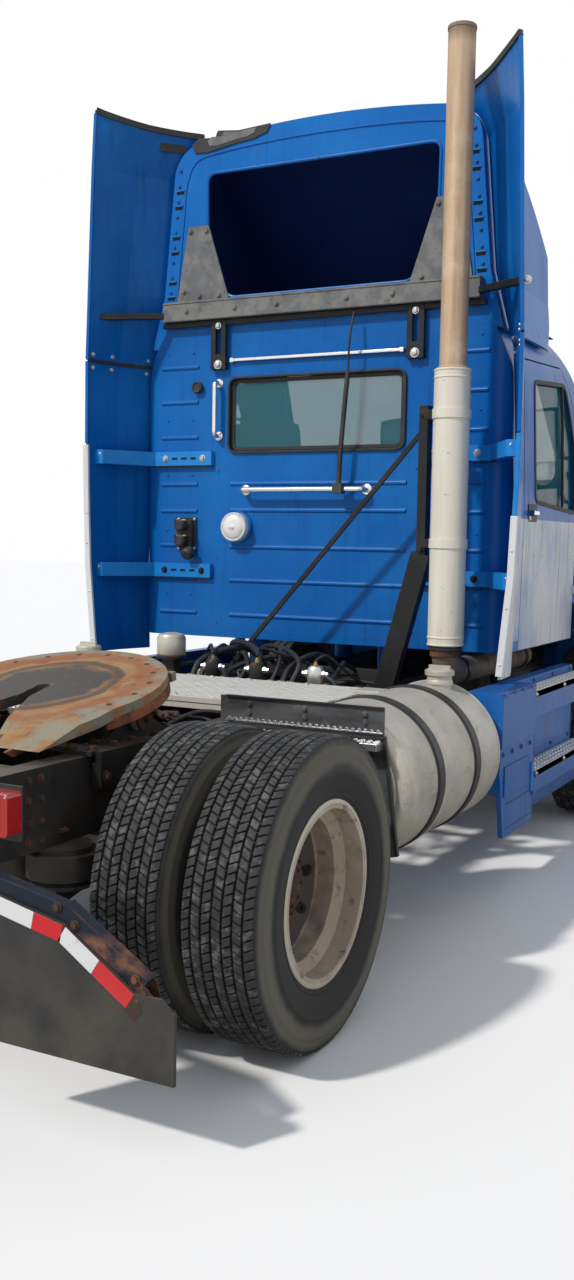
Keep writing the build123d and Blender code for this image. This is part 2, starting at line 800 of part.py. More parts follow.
def build_front_axle():
    """Dropped beam with a pad under each spring and an eye at each kingpin."""
    drop = axle_z - 95
    beam = front_plate(
        [
            (-kingpin_x + 30, axle_z - 45),
            (-560, drop - 45),
            (560, drop - 45),
            (kingpin_x - 30, axle_z - 45),
            (kingpin_x - 30, axle_z + 45),
            (560, drop + 45),
            (-560, drop + 45),
            (-kingpin_x + 30, axle_z + 45),
        ],
        y_front_axle - 45,
        y_front_axle + 45,
    )
    for web_y in (y_front_axle - 45, y_front_axle + 15):
        beam = beam - block(-520, 520, web_y, web_y + 30, drop - 28, drop + 28)
    for side in (-1, 1):
        x = side * kingpin_x
        beam = beam + rod_z(axle_z - 60, axle_z + 60, x, y_front_axle, 42)
        beam = beam - rod_z(axle_z - 70, axle_z + 70, x, y_front_axle, 21)
        pad_x = side * frame_half_width
        y0, y1 = y_front_axle - 80, y_front_axle + 80
        beam = beam + block(pad_x - 60, pad_x + 60, y0, y1, drop + 40, axle_z - 25)
    save("front_axle", beam)


def build_knuckles():
    """Steering knuckle: a fork round the beam's eye, the spindle, and the arm for the tie rod."""
    x, y, z = kingpin_x, y_front_axle, axle_z
    yoke = block(x + 55, x + 85, y - 55, y + 55, z - 100, z + 100)
    upper = block(x - 40, x + 85, y - 40, y + 40, z + 66, z + 100)
    lower = block(x - 40, x + 85, y - 40, y + 40, z - 100, z - 66)
    pin = rod_z(z - 95, z + 95, x, y, 20.7)
    spindle = rod_x(x + 80, front_wheel_centre_x + 118, y, z, 34)
    arm = block(x - 45, x + 50, y + 30, y + 190, z - 122, z - 100)
    knuckle = yoke + upper + lower + pin + spindle + arm
    eye_x, eye_y = x, y + 165
    knuckle = knuckle - rod_z(z - 130, z - 90, eye_x, eye_y, 14.5)
    save("knuckle_left", knuckle)
    save("knuckle_right", other_side(knuckle))
    rod = rod_x(-eye_x, eye_x, eye_y, z - 146, 17)
    studs = [rod_z(z - 150, z - 102, side * eye_x, eye_y, 14) for side in (-1, 1)]
    save("tie_rod", rod + studs)


leaf_pitch = 18.0
leaf_thickness = 17.5
leaf_camber = 70.0


def spring_leaf(reach, low, rise):
    """One bowed leaf from the side: half length, height of its middle and how far its ends rise."""
    y0, y1, t = y_front_axle - reach, y_front_axle + reach, leaf_thickness
    below = ThreePointArc((y0, low + rise), (y_front_axle, low), (y1, low + rise))
    above = ThreePointArc((y1, low + t + rise), (y_front_axle, low + t), (y0, low + t + rise))
    return make_face([below, Line(below @ 1, above @ 0), above, Line(above @ 1, below @ 0)])


def build_front_springs():
    """A leaf pack under each rail, hung from a bracket at the front and a shackle at the back."""
    x = frame_half_width - 5
    half = 700.0
    leaves = []
    for side in (-1, 1):
        pack = None
        for i, reach in enumerate((half, half - 60, half - 230)):
            low = axle_z - 25 + (2 - i) * leaf_pitch
            leaf = spring_leaf(reach, low, leaf_camber * (reach / half) ** 2)
            leaf = extrude(Plane.YZ.offset(side * x - 40) * leaf, 80, dir=to_left)
            pack = leaf if pack is None else pack + leaf
        for end in (-1, 1):
            y = y_front_axle + end * (half - 25)
            pack = pack + block(side * x - 35, side * x + 35, y - 30, y + 30, axle_z + 80, frame_bottom)
        y0, y1 = y_front_axle - 60, y_front_axle + 60
        pack = pack + block(side * x - 48, side * x + 48, y0, y1, axle_z - 25, axle_z + 60)
        leaves.append(pack)
    save("front_springs", Compound(children=[s for p in leaves for s in p.solids()]))


def build_rear_axle():
    """Banjo housing with its pinion carrier and the two spindles."""
    tube = rod_x(-600, 600, y_rear_axle, axle_z, 68)
    bowl = rod_x(-95, 130, y_rear_axle, axle_z, 215)
    bowl = fillet(bowl.edges().filter_by(GeomType.CIRCLE), 45)
    nose = rod_y(y_rear_axle - 390, y_rear_axle - 120, 0, axle_z + 40, 95)
    spindle = rod_x(-outer_dual_centre_x + 43, outer_dual_centre_x - 43, y_rear_axle, axle_z, 44)
    brake_plates = [rod_x(s * 505, s * 520, y_rear_axle, axle_z, 200) for s in (-1, 1)]
    save("rear_axle", tube + bowl + nose + spindle + brake_plates)


def build_rear_suspension():
    """Trailing arms with air springs behind the axle, under each rail."""
    parts = []
    for side in (-1, 1):
        x = side * (frame_half_width + 5)
        hanger = block(x - 45, x + 45, y_rear_axle - 740, y_rear_axle - 620, axle_z - 20, frame_bottom)
        front, rear = y_rear_axle - 710, y_rear_axle + 490
        over = [(front, axle_z - 10), (front + 60, axle_z + 60), (y_rear_axle, axle_z + 110)]
        under = [(rear, axle_z - 40), (y_rear_axle, axle_z + 72), (front, axle_z - 60)]
        arm = side_plate([*over, (rear, axle_z + 20), *under], x - 40, x + 40)
        seat = block(x - 48, x + 48, y_rear_axle - 80, y_rear_axle + 80, axle_z + 60, axle_z + 100)
        bag_y = y_rear_axle + 400
        bag = rod_z(axle_z + 15, frame_bottom, x, bag_y, 95)
        bag = bag + rod_z(axle_z + 50, frame_bottom - 20, x, bag_y, 122)
        parts.append((hanger + arm + seat + bag) - rod_x(-700, 700, y_rear_axle, axle_z, 68))
    save("rear_suspension", Compound(children=[s for p in parts for s in p.solids()]))


def build_engine():
    """The engine and the radiator as plain masses, each at its real place."""
    rear, front = engine_rear_y, engine_front_y
    engine = block(-engine_half_width, engine_half_width, front, rear, frame_top + 20, engine_top)
    lower = block(-300, 300, front, rear, 760, frame_top + 20)
    sump = block(-220, 220, front + 100, rear - 60, 620, 760)
    feet = block(-frame_half_width, frame_half_width, front + 60, front + 220, frame_top, frame_top + 40)
    radiator = block(-480, 480, front - 160, front - 90, frame_top + 10, 1440)
    radiator += block(-330, 330, front - 160, front - 90, frame_bottom + 125, frame_top + 10)
    save("engine", Compound(children=[*(engine + lower + sump + feet).solids(), *radiator.solids()]))


def build_driveline():
    """Gearbox, centre joint and the tube to the rear axle's pinion."""
    rear = engine_rear_y
    bell = side_plate([(rear, 640), (rear, 1060), (rear + 330, 980), (-620, 930), (-620, 640)], -200, 200)
    start, end = Vector(0, -600, 780), Vector(0, y_rear_axle - 405, axle_z + 40)
    path = Line(start, end)
    shaft = sweep(Plane(origin=start, z_dir=path % 0) * Circle(48), path=path)
    flanges = rod_y(-622, -590, 0, 780, 80) + rod_y(y_rear_axle - 412, y_rear_axle - 390, 0, axle_z + 40, 75)
    save("driveline", bell + shaft + flanges)


# Wheels


def tyre_solid(x_centre, y):
    """A tyre as one turned ring with square shoulders and bulged walls."""
    r, w, b = tyre_radius, tyre_width / 2, rim_radius
    tread = w - 18
    face = make_face(
        [
            Line((b, -w + 44), (b, w - 44)),
            Line((b, w - 44), (b + 18, w - 36)),
            ThreePointArc((b + 18, w - 36), (b + 105, w), (r - 34, w - 10)),
            Line((r - 34, w - 10), (r, tread)),
            Line((r, tread), (r, -tread)),
            Line((r, -tread), (r - 34, -w + 10)),
            ThreePointArc((r - 34, -w + 10), (b + 105, -w), (b + 18, -w + 36)),
            Line((b + 18, -w + 36), (b, -w + 44)),
        ]
    )
    ring = revolve(Plane.XZ * face, Axis.Z, 360)
    return Pos(x_centre, y, axle_z) * Rot(0, 90, 0) * ring


def disc_wheel(x_centre, y, out):
    """A drop-centre rim with its dished disc; out is +1 where the disc bows towards +X."""
    f, b, w = rim_flange_radius, rim_radius, 118.0
    well = [
        (f, -w),
        (f, -w + 12),
        (b, -w + 14),
        (b, -w + 40),
        (255, -w + 60),
        (255, 20),
        (b, 50),
        (b, w - 14),
        (f, w - 12),
        (f, w),
        (b - 12, w),
        (b - 12, 52),
        (243, 22),
        (243, -w + 58),
        (b - 12, -w + 38),
        (b - 12, -w),
    ]
    rim = turned([(r, -out * across) for r, across in well], x_centre, y, axle_z)
    face_x = out * 95
    edge_x = face_x - out * 45
    outside = [(92, face_x + 6), (175, face_x + 6), (244, edge_x + 7)]
    inside = [(244, edge_x - 7), (175, face_x - 6), (92, face_x - 6)]
    disc = turned([*outside, *inside], x_centre, y, axle_z)
    holes = []
    x0, x1 = x_centre + face_x - 90, x_centre + face_x + 90
    for i in range(hand_holes):
        a = radians(360 / hand_holes * i)
        hole_y, hole_z = y + hand_hole_pitch * cos(a), axle_z + hand_hole_pitch * sin(a)
        holes.append(rod_x(x0, x1, hole_y, hole_z, hand_hole_radius))
    return rim + (disc - holes)


def build_front_wheels():
    x = front_wheel_centre_x
    tyre = tyre_solid(x, y_front_axle)
    wheel = disc_wheel(x, y_front_axle, 1)
    hub_profile = [(35, 0), (35, 120), (70, 120), (92, 91), (150, 91), (150, 40), (100, 20), (100, 0)]
    hub = turned(hub_profile, x, y_front_axle, axle_z)
    cap = rod_x(x + 119, x + 165, y_front_axle, axle_z, 62)
    drum = turned([(150, -96), (205, -96), (205, 70), (150, 70)], x, y_front_axle, axle_z)
    wheel = wheel + hub + cap + drum
    save("front_wheel_left", wheel)
    save("front_tyre_left", tyre)
    save("front_wheel_right", other_side(wheel))
    save("front_tyre_right", other_side(tyre))


def build_rear_wheels():
    outer_x = outer_dual_centre_x
    inner_x = outer_x - dual_spacing
    tyres = Compound(children=[s for x in (outer_x, inner_x) for s in tyre_solid(x, y_rear_axle).solids()])
    outer = disc_wheel(outer_x, y_rear_axle, -1)
    inner = disc_wheel(inner_x, y_rear_axle, 1)
    middle = (outer_x + inner_x) / 2
    hub_outside = [(78, 85), (92, 60), (92, 0), (150, 0), (150, -70), (100, -90), (100, -300)]
    hub = turned([(45.5, -300), (45.5, 85), *hub_outside], middle, y_rear_axle, axle_z)
    flange = turned([(45.5, -68), (45.5, 68), (172, 68), (172, -68)], middle, y_rear_axle, axle_z)
    drum = turned([(168, -300), (210, -300), (210, -40), (168, -40)], middle, y_rear_axle, axle_z)
    cap = rod_x(middle + 130, middle + 150, y_rear_axle, axle_z, 80)
    stub = rod_x(middle + 60, middle + 140, y_rear_axle, axle_z, 78)
    stub = stub - rod_x(middle, middle + 131, y_rear_axle, axle_z, 45.5)
    wheels = outer + inner + flange + hub + drum + cap + stub
    save("rear_wheels_left", wheels)
    save("rear_tyres_left", tyres)
    save("rear_wheels_right", other_side(wheels))
    save("rear_tyres_right", other_side(tyres))


# Fifth wheel


def build_fifth_wheel():
    """Base feet on the rails, and the rocking top plate with its throat, ramps and lock."""
    feet = []
    for side in (-1, 1):
        x = side * (frame_half_width - 40)
        rail_foot = block(x - 60, x + 60, fifth_wheel_y - 330, fifth_wheel_y + 330, frame_top, frame_top + 16)
        ears = side_plate(
            [
                (fifth_wheel_y - 200, frame_top + 16),
                (fifth_wheel_y + 200, frame_top + 16),
                (fifth_wheel_y + 25, fifth_wheel_pivot_z + 28),
                (fifth_wheel_y - 25, fifth_wheel_pivot_z + 28),
            ],
            x - 11,
            x + 11,
        )
        pin = rod_x(x - 45, x + 45, fifth_wheel_y, fifth_wheel_pivot_z, rocker_pin_radius)
        feet.append(rail_foot + ears + pin)
    inner = frame_half_width - 100
    for y in (fifth_wheel_y - 300, fifth_wheel_y + 220):
        feet.append(block(-inner, inner, y, y + 80, frame_top, frame_top + 16))
    save("fifth_wheel_base", feet[0] + feet[1:])

    top = plate_top_above_pivot
    bottom = top - plate_thickness
    disc = rod_z(bottom, top, 0, 0, plate_radius)
    right_horn = [(430, 0), (430, 250), (360, 560), (205, 560), (90, 120)]
    horns = plan_plate([*right_horn, *[(-x, y) for x, y in reversed(right_horn)]], bottom, top)
    plate = disc + horns
    jaw = kingpin_radius + 2
    right_edge = [(jaw, 0), (jaw, 110), (210, 600)]
    throat_outline = [*right_edge, *[(-x, y) for x, y in reversed(right_edge)]]
    throat = plan_plate(throat_outline, bottom - 50, top + 50)
    plate = plate - throat - rod_z(bottom - 5, top + 5, 0, 0, kingpin_radius + kingpin_clearance)
    ramp = side_plate([(330, top), (600, top - 60), (600, top + 90), (330, top + 90)], -500, 500)
    plate = plate - ramp
    ear_gap = 11 + 6
    for side in (-1, 1):
        x = side * (frame_half_width - 40)
        for lug in (-1, 1):
            near = x + lug * ear_gap
            far = x + lug * (ear_gap + 22)
            ear = side_plate([(-75, bottom + 2), (75, bottom + 2), (38, -34), (-38, -34)], near, far)
            plate = plate + (ear - rod_x(near - lug * 5, far + lug * 5, 0, 0, rocker_pin_radius + 0.6))
    rib = block(-330, 330, -380, -350, bottom - 34, bottom)
    lock = block(-120, 120, -110, -kingpin_radius - 12, bottom - 46, bottom)
    plate = plate + rib + lock
    plate = Pos(0, fifth_wheel_y, fifth_wheel_pivot_z) * Rot(-plate_rest_tilt, 0, 0) * plate
    save("fifth_wheel_plate", plate)


# Tanks, steps, deck and rear fittings


def build_tanks():
    x, z = tank_x, tank_z
    tank = rod_y(tank_front_y, tank_rear_y, x, z, tank_radius)
    tank = fillet(tank.edges().filter_by(GeomType.CIRCLE), 42)
    neck = rod_z(z + tank_radius - 25, z + tank_radius + 40, x + 60, tank_front_y + 150, 55)
    tank = tank + neck
    for y in (tank_front_y + 340, tank_rear_y - 340):
        band = rod_y(y - 25, y + 25, x, z, tank_radius + 5)
        bracket = block(frame_half_width, x - 230, y - 40, y + 40, frame_bottom - 60, frame_top - 10)
        tank = tank + band + bracket
    save("fuel_tanks", both_sides(tank))


def build_steps():
    """Side fairing with two protruding treads below each door, and its plain panel behind them."""
    outer, back, wall = step_outer_x, step_outer_x - 170, 22.0
    treads = Polygon(
        (back, step_top),
        (outer - 105, step_top),
        (outer - 105, upper_tread),
        (outer, upper_tread),
        (outer, upper_tread - 130),
        (outer - 105, upper_tread - 150),
        (outer - 105, lower_tread),
        (outer + 10, lower_tread),
        (outer + 10, lower_tread - 105),
        (outer - 60, step_bottom + 20),
        (back, step_bottom + 20),
        align=None,
    )
    hollow = offset(treads, -wall, kind=Kind.INTERSECTION) + Pos(back, 650) * Rectangle(2 * wall + 10, 610)
    section = treads - hollow
    run = extrude(Plane.XZ.offset(-step_front_y) * section, tread_rear_y - step_front_y, dir=to_rear)
    front_cap = extrude(Plane.XZ.offset(-step_front_y) * treads, wall, dir=to_rear)
    panel_outline = [
        (tread_rear_y - wall, step_bottom),
        (step_rear_y - 70, step_bottom),
        (step_rear_y, step_bottom + 300),
        (step_rear_y, step_top),
        (tread_rear_y - wall, step_top),
    ]
    panel = side_plate(panel_outline, back, outer)
    inside = side_plate(panel_outline, back - 1, outer - wall)
    panel = panel - (inside & block(0, outer, tread_rear_y, step_rear_y - wall, 0, step_top - wall))
    rib = block(outer - 6, outer + 8, tread_rear_y, step_rear_y, step_top - 250, step_top - 10)
    stays, webs = [], []
    for y, reach in ((-900.0, 110.0), (0.0, 10.0)):
        z = frame_bottom + 70
        stays.append(block(frame_half_width, back + 12, y - 30, y + 30, z, z + 80))
        webs.append(block(back, outer - reach, y - 8, y + 8, z - 40, z + 40))
    steps = run + front_cap + panel + rib + stays + webs
    save("chassis_steps", both_sides(steps))


def build_deck():
    deck = block(-deck_half_width, deck_half_width, deck_front_y, deck_rear_y, deck_top - 8, deck_top)
    for y in (deck_front_y, deck_rear_y - 8):
        deck = deck + block(-600, 600, y, y + 8, deck_top - 48, deck_top)
    for side in (-1, 1):
        x = side * (frame_half_width - 30)
        for y in (deck_front_y + 60, deck_rear_y - 90):
            deck = deck + block(x - 25, x + 25, y, y + 40, frame_top, deck_top - 4)
    save("deck_plate", deck)

    # Black panel, grip tread and slanting guard between the tank and the wheel, both sides
    front, outer = tank_rear_y + 25, 1125.0
    panel = block(frame_half_width, outer, front, front + 10, 930, 1045)
    tread = block(frame_half_width + 30, outer, front, front + 70, 893, 917)
    shape = [(1015, 940), (outer, 940), (1188, 500), (1060, 470), (1015, 520)]
    guard = front_plate(shape, front, front + 8)
    gusset = block(frame_half_width, frame_half_width + 30, front, front + 70, 800, 940)
    save("rear_guards", both_sides(panel + tread + guard + gusset))


hanger_width = 48.0
hanger_depth = 40.0
flap_inner_x = 590.0
flap_outer_x = 1190.0
flap_bottom = 225.0
flap_thickness = 12.0


def build_tail():
    """Bent mud flap hangers, flaps and tail lamps."""
    y = frame_rear_y - 10
    hanger = bar_between((frame_half_width, y, 700), (830, y, 625), hanger_width, hanger_depth)
    down = bar_between((815, y, 636), (1085, y, 470), hanger_width, hanger_depth)
    hanger = hanger + down - block(0, frame_half_width, y - 100, y + 100, 0, 1000)
    x0, x1, near = flap_inner_x, flap_outer_x, y + hanger_depth / 2 + 1
    outline = [(x0, 650), (830, 601), (1062, 452), (x1, 452), (x1, flap_bottom), (x0, flap_bottom)]
    flap = front_plate(outline, near, near + flap_thickness)
    flap = flap - front_plate([(x1 - 90, 500), (x1 + 60, 500), (x1 + 60, 420), (x1 - 10, 420)], y, y + 50)
    save("flap_hangers", both_sides(hanger))
    save("mud_flaps", both_sides(flap))
    lamp = block(455, 640, frame_rear_y - 32, y_tail, 815, 935)
    lamp = fillet(lamp.edges().filter_by(Axis.Y), 12)
    bracket = block(frame_half_width, 640, frame_rear_y - 38, frame_rear_y - 32, 790, 950)
    save("tail_lamps", both_sides(lamp + bracket))


def build_wall_fittings():
    """Grab bars, work lamp, air couplings and the lines' stowage on the back wall."""
    x0, x1, z = -310.0, 400.0, 1918.0
    bar = tube_along([(x0, 0, z), (x0, 62, z), (x1, 62, z), (x1, 0, z)], [25, 25], 14)
    x, low, high = 574.0, 2208.0, 2490.0
    upright = tube_along([(x, 0, high), (x, 50, high), (x, 50, low), (x, 0, low)], [20, 20], 13)
    lamp = rod_y(0, 58, 442, 1720, 76)
    x = 768.0
    coupling = block(x - 48, x + 47, 0, 40, 1605, 1755)
    coupling = coupling + rod_y(0, 95, x, 1725, 27) + rod_y(0, 95, x, 1640, 27)
    port = rod_y(0, 25, 703, 2472, 28)
    solids = []
    for piece in (bar, upright, lamp, coupling, port):
        solids += (piece - wall_beads()).solids()
    save("wall_fittings", Compound(children=solids))


# Hood, grille, lamps and bumper


def hood_side_outline():
    """The middle of the hood from the side: a long fall to a blunt nose."""
    cowl, lip = (hood_cowl_y, hood_cowl_z), (hood_cowl_y, hood_bottom)
    brow, chin = (hood_nose_y + 95, hood_brow_z), (hood_nose_y, hood_bottom)
    midway = ((cowl[0] + brow[0]) / 2 - 104, (cowl[1] + brow[1]) / 2 + 120)
    fall = ThreePointArc(cowl, midway, brow)
    face = ThreePointArc(brow, (hood_nose_y + 22, hood_brow_z - 225), chin)
    return make_face([fall, face, Line(chin, lip), Line(lip, cowl)])


def hood_front_outline():
    """The middle of the hood from the front: flat sides under a crowned top."""
    foot, waist = (hood_waist_half_width - 25, hood_bottom), (hood_waist_half_width, hood_waist_z)
    shoulder, crown = (hood_shoulder_half_width, hood_cowl_z - 25), (0, hood_cowl_z + 10)
    half = [Line(foot, waist), TangentArc(waist, shoulder, tangent=(0, 1))]
    top = ThreePointArc(shoulder, crown, (-shoulder[0], shoulder[1]))
    other_half = [mirror(e, about=Plane.YZ) for e in half]
    return make_face([*half, top, *other_half, Line(foot, (-foot[0], foot[1]))])


def hood_plan_outline():
    """The middle of the hood from above, narrowing to a bowed grille."""
    rear = (hood_waist_half_width + 95, hood_cowl_y)
    nose = (hood_nose_half_width, hood_nose_y + 40)
    midway = ((rear[0] + nose[0]) / 2 + 52, (rear[1] + nose[1]) / 2 - 5)
    flank = ThreePointArc(rear, midway, nose)
    front = ThreePointArc(nose, (0, hood_nose_y), (-nose[0], nose[1]))
    return make_face([flank, front, mirror(flank, about=Plane.YZ), Line(rear, (-rear[0], rear[1]))])


def fender_side_outline():
    """A fender from the side, arched over the wheel."""
    rear, lip = (hood_rear_y, fender_top), (hood_rear_y, hood_bottom)
    brow, chin = (fender_brow_y, fender_brow_z), (hood_nose_y + 80, hood_bottom)
    back = ThreePointArc(rear, ((rear[0] + brow[0]) / 2 - 36, fender_top + 27), brow)
    face = ThreePointArc(brow, (fender_brow_y - 340, fender_brow_z - 195), chin)
    return make_face([back, face, Line(chin, lip), Line(lip, rear)])


def fender_plan_outline():
    """Both fenders from above, with rounded front corners."""
    rear, corner = (hood_half_width, hood_rear_y), (hood_half_width, fender_corner_y)
    front = (fender_nose_half_width, hood_nose_y + 85)
    half = [Line(rear, corner), TangentArc(corner, front, tangent=(0, -1))]
    nose = ThreePointArc(front, (0, hood_nose_y + 20), (-front[0], front[1]))
    other_half = [mirror(e, about=Plane.YZ) for e in half]
    return make_face([*half, nose, *other_half, Line(rear, (-rear[0], rear[1]))])


def hood_solid(inset):
    """The hood as a closed block: a raked nose between two arched fenders."""
    faces = [hood_side_outline(), hood_front_outline(), hood_plan_outline()]
    faces += [fender_side_outline(), fender_plan_outline()]
    if inset:
        faces = [offset(f, -inset, kind=Kind.INTERSECTION) for f in faces]
    side, front, plan, fender_side, fender_plan = faces
    centre = through_side(side) & through_front(front) & through_plan(plan)
    return centre + (through_side(fender_side) & through_plan(fender_plan))


grille_half_width = 405.0
grille_bottom = 800.0
grille_top = 1300.0
grille_bars = 6
grille_bar_pitch = 76.0
grille_bar_height = 24.0


def build_hood():
    outer = hood_solid(0)
    inner = hood_solid(hood_wall)
    cab_space = through_plan(cab_plan_outline(-hood_clearance))
    hood = outer - inner
    floor_of_hood = hood_solid(hood_wall + 0.5) & block(-2000, 2000, -4000, 0, 0, hood_bottom + 60)
    hood = hood - Pos(0, 0, -hood_wall - 5) * floor_of_hood
    hood_mouth = hood_solid(hood_wall) & block(-2000, 2000, hood_cowl_y - 60, 0, 0, 3000)
    hood = hood - Pos(0, hood_wall + 20, 0) * hood_mouth - cab_space
    for side in (-1, 1):
        hood = hood - rod_x(side * 560, side * (hood_half_width + 85), y_front_axle, axle_z, arch_radius)
    hood = hood - block(-1300, 1300, hood_rear_y - 400, hood_rear_y + 30, 0, 860)
    w, y0 = grille_half_width, hood_nose_y
    grille_hole = block(-w, w, y0 - 50, y0 + 190, grille_bottom, grille_top)
    hood = hood - grille_hole
    lamp_zone = lamp_box(0)
    hood = hood - lamp_zone - other_side(lamp_zone)
    shell = max(hood.solids(), key=lambda s: s.volume)
    y, z, half = hood_pivot_y, hood_pivot_z, hood_arm_thickness / 2
    reach = hood_pin_radius + half
    eye_radius = hood_pin_radius + hood_pin_clearance
    for side in (-1, 1):
        x = side * (frame_half_width - 2 * hood_horn_thickness)
        arm = block(x - half, x + half, y - reach, y + reach, z - reach, grille_bottom - 10)
        brace = block(x - half, x + half, hood_nose_y + 12, y + reach, grille_bottom - 40, grille_bottom)
        shell = shell + ((arm + brace) - rod_x(x - 20, x + 20, y, z, eye_radius))
    save("hood", shell)

    frame = grille_hole & (outer - hood_solid(hood_wall + 6))
    y0, y1 = hood_nose_y - 60, hood_nose_y + 200
    ring = frame - block(-w + 22, w - 22, y0, y1, grille_bottom + 22, grille_top - 22)
    bars = []
    for i in range(grille_bars):
        z = grille_bottom + 60 + grille_bar_pitch * i
        bars.append(block(-w + 10, w - 10, y0, y1, z, z + grille_bar_height))
    post = block(-9, 9, y0, y1, grille_bottom + 10, grille_top - 10)
    save("grille", ring + (frame & (post + bars)))
    lamps = (hood_solid(3) & lamp_box(-3)) - hood_solid(95)
    save("headlamps", both_sides(lamps))


def lamp_box(grow):
    """The zone of one headlamp, at the front corner of the fender."""
    below = [(700 - grow, 905 - grow), (1120 + grow, 925 - grow)]
    above = [(1130 + grow, 1060 + grow), (690 - grow, 1075 + grow)]
    return front_plate([*below, *above], y_bumper + 20, y_bumper + 480)


def bumper_outline():
    """The bumper from above: a bowed middle that runs into wrapped ends."""
    w, end, corner = bumper_half_width, bumper_end_y, bumper_corner_y
    bow = (bumper_bow_half_width, y_bumper + bumper_bow)
    half = [Line((w, end), (w, corner)), TangentArc((w, corner), bow, tangent=(0, -1))]
    front = ThreePointArc(bow, (0, y_bumper), (-bow[0], bow[1]))
    other_half = [mirror(e, about=Plane.YZ) for e in half]
    return make_face([*half, front, *other_half, Line((-w, end), (w, end))])


def build_bumper():
    """A wrapped bumper skin with a central opening, on two arms to the rails."""
    w, wall = bumper_half_width, bumper_wall
    solid = extrude(Plane.XY.offset(bumper_bottom) * bumper_outline(), bumper_top - bumper_bottom, dir=upward)
    inner = Plane.XY.offset(bumper_bottom - 1) * offset(bumper_outline(), -wall, kind=Kind.INTERSECTION)
    bumper = solid - extrude(inner, bumper_top - bumper_bottom + 2, dir=upward)
    y0, y1 = bumper_end_y - 110, bumper_end_y + 90
    bumper = bumper - block(-w + wall, w - wall, y0, y1, bumper_bottom - 1, bumper_top + 1)
    bumper = largest(bumper) - block(-330, 330, y_bumper - 10, y_bumper + 60, 470, 560)
    for side in (-1, 1):
        x = side * (frame_half_width - 60)
        arm = block(x - 30, x + 30, y_bumper + wall / 2, frame_front_y, 560, 640)
        bumper = bumper + arm + block(x - 30, x + 30, frame_front_y - 10, frame_front_y, 560, 700)
    save("front_bumper", bumper)


cab_outer = build_cab()
build_interior()
build_fairing(cab_outer)
build_extenders()
build_fairing_frame()
build_exhaust()
build_frame()
build_front_axle()
build_knuckles()
build_front_springs()
build_rear_axle()
build_rear_suspension()
build_engine()
build_driveline()
build_front_wheels()
build_rear_wheels()
build_fifth_wheel()
build_tanks()
build_steps()
build_deck()
build_tail()
build_wall_fittings()
build_hood()
build_bumper()
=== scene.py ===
import math

import bpy
from mathutils import Matrix, Vector


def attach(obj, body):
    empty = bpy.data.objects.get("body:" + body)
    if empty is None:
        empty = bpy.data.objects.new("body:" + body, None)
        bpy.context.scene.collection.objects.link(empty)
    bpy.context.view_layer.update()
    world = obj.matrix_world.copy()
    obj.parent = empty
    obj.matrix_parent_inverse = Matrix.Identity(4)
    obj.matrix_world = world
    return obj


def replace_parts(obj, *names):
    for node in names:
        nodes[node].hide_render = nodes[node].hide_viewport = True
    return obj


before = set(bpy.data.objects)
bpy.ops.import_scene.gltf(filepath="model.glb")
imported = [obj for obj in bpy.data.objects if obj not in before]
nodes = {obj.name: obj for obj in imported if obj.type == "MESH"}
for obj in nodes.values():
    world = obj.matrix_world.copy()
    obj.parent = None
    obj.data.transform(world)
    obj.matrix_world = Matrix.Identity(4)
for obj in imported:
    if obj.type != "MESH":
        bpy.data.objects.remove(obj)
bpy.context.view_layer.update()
print("frame loaded")

left, right, rear, front = (1, 0, 0), (-1, 0, 0), (0, 1, 0), (0, -1, 0)  # directions on the vehicle
up, down = (0, 0, 1), (0, 0, -1)
sides = (("left", 1), ("right", -1))

view = {
    "place": (-2.85, 5.681, 1.648),  # camera, in metres
    "yaw": 27.723,  # degrees, from straight ahead towards the right
    "pitch": 4.657,  # degrees, downwards
    "roll": 0.993,
    "lens": 34.06,  # mm on a 36 mm tall sensor
}


def vec(*a):
    return Vector(a)


def makeCamera():
    yaw, pitch, roll = (math.radians(view[k]) for k in ("yaw", "pitch", "roll"))
    ahead = vec(math.sin(yaw) * math.cos(pitch), -math.cos(yaw) * math.cos(pitch), -math.sin(pitch))
    beside = vec(-math.cos(yaw), -math.sin(yaw), 0)
    above = beside.cross(ahead)
    tilted = beside * math.cos(roll) + above * math.sin(roll)
    rows = (tilted, above * math.cos(roll) - beside * math.sin(roll), -ahead)
    data = bpy.data.cameras.new("photoCamera")
    data.lens, data.sensor_width, data.clip_end = view["lens"], 36, 200
    cam = bpy.data.objects.new("photoCamera", data)
    cam.matrix_world = Matrix.Translation(view["place"]) @ Matrix(rows).transposed().to_4x4()
    bpy.context.collection.objects.link(cam)
    bpy.context.scene.camera = cam


makeCamera()


# Shader helpers
def feed(tree, socket, value):
    if isinstance(value, bpy.types.NodeSocket):
        tree.links.new(value, socket)
    else:
        socket.default_value = (*value, 1) if socket.type == "RGBA" and len(value) == 3 else value


def node(tree, kind, ins=(), **props):
    n = tree.nodes.new("ShaderNode" + kind)
    for k, v in props.items():
        setattr(n, k, v)
    for k, v in dict(ins).items():
        feed(tree, n.inputs[k], v)
    return n


def calc(g, op, a, b=0.0, c=0.0, clamp=False):
    return node(g, "Math", {0: a, 1: b, 2: c}, operation=op, use_clamp=clamp).outputs[0]


def times(g, a, b, clamp=False):
    return calc(g, "MULTIPLY", a, b, clamp=clamp)


def minus(g, a, b):
    return calc(g, "SUBTRACT", a, b)


def plus(g, a, b):
    return calc(g, "ADD", a, b)


def ramp(g, value, low, high, kind="LINEAR"):
    ends = {"Value": value, "From Min": low, "From Max": high}
    return node(g, "MapRange", ends, interpolation_type=kind).outputs[0]


def objectPoint(g):
    return node(g, "TexCoord").outputs["Object"]


def noise(g, scale, detail, at=None, **ins):
    ins = {"Vector": at or objectPoint(g), "Scale": scale, "Detail": detail, **ins}
    return node(g, "TexNoise", ins).outputs["Fac"]


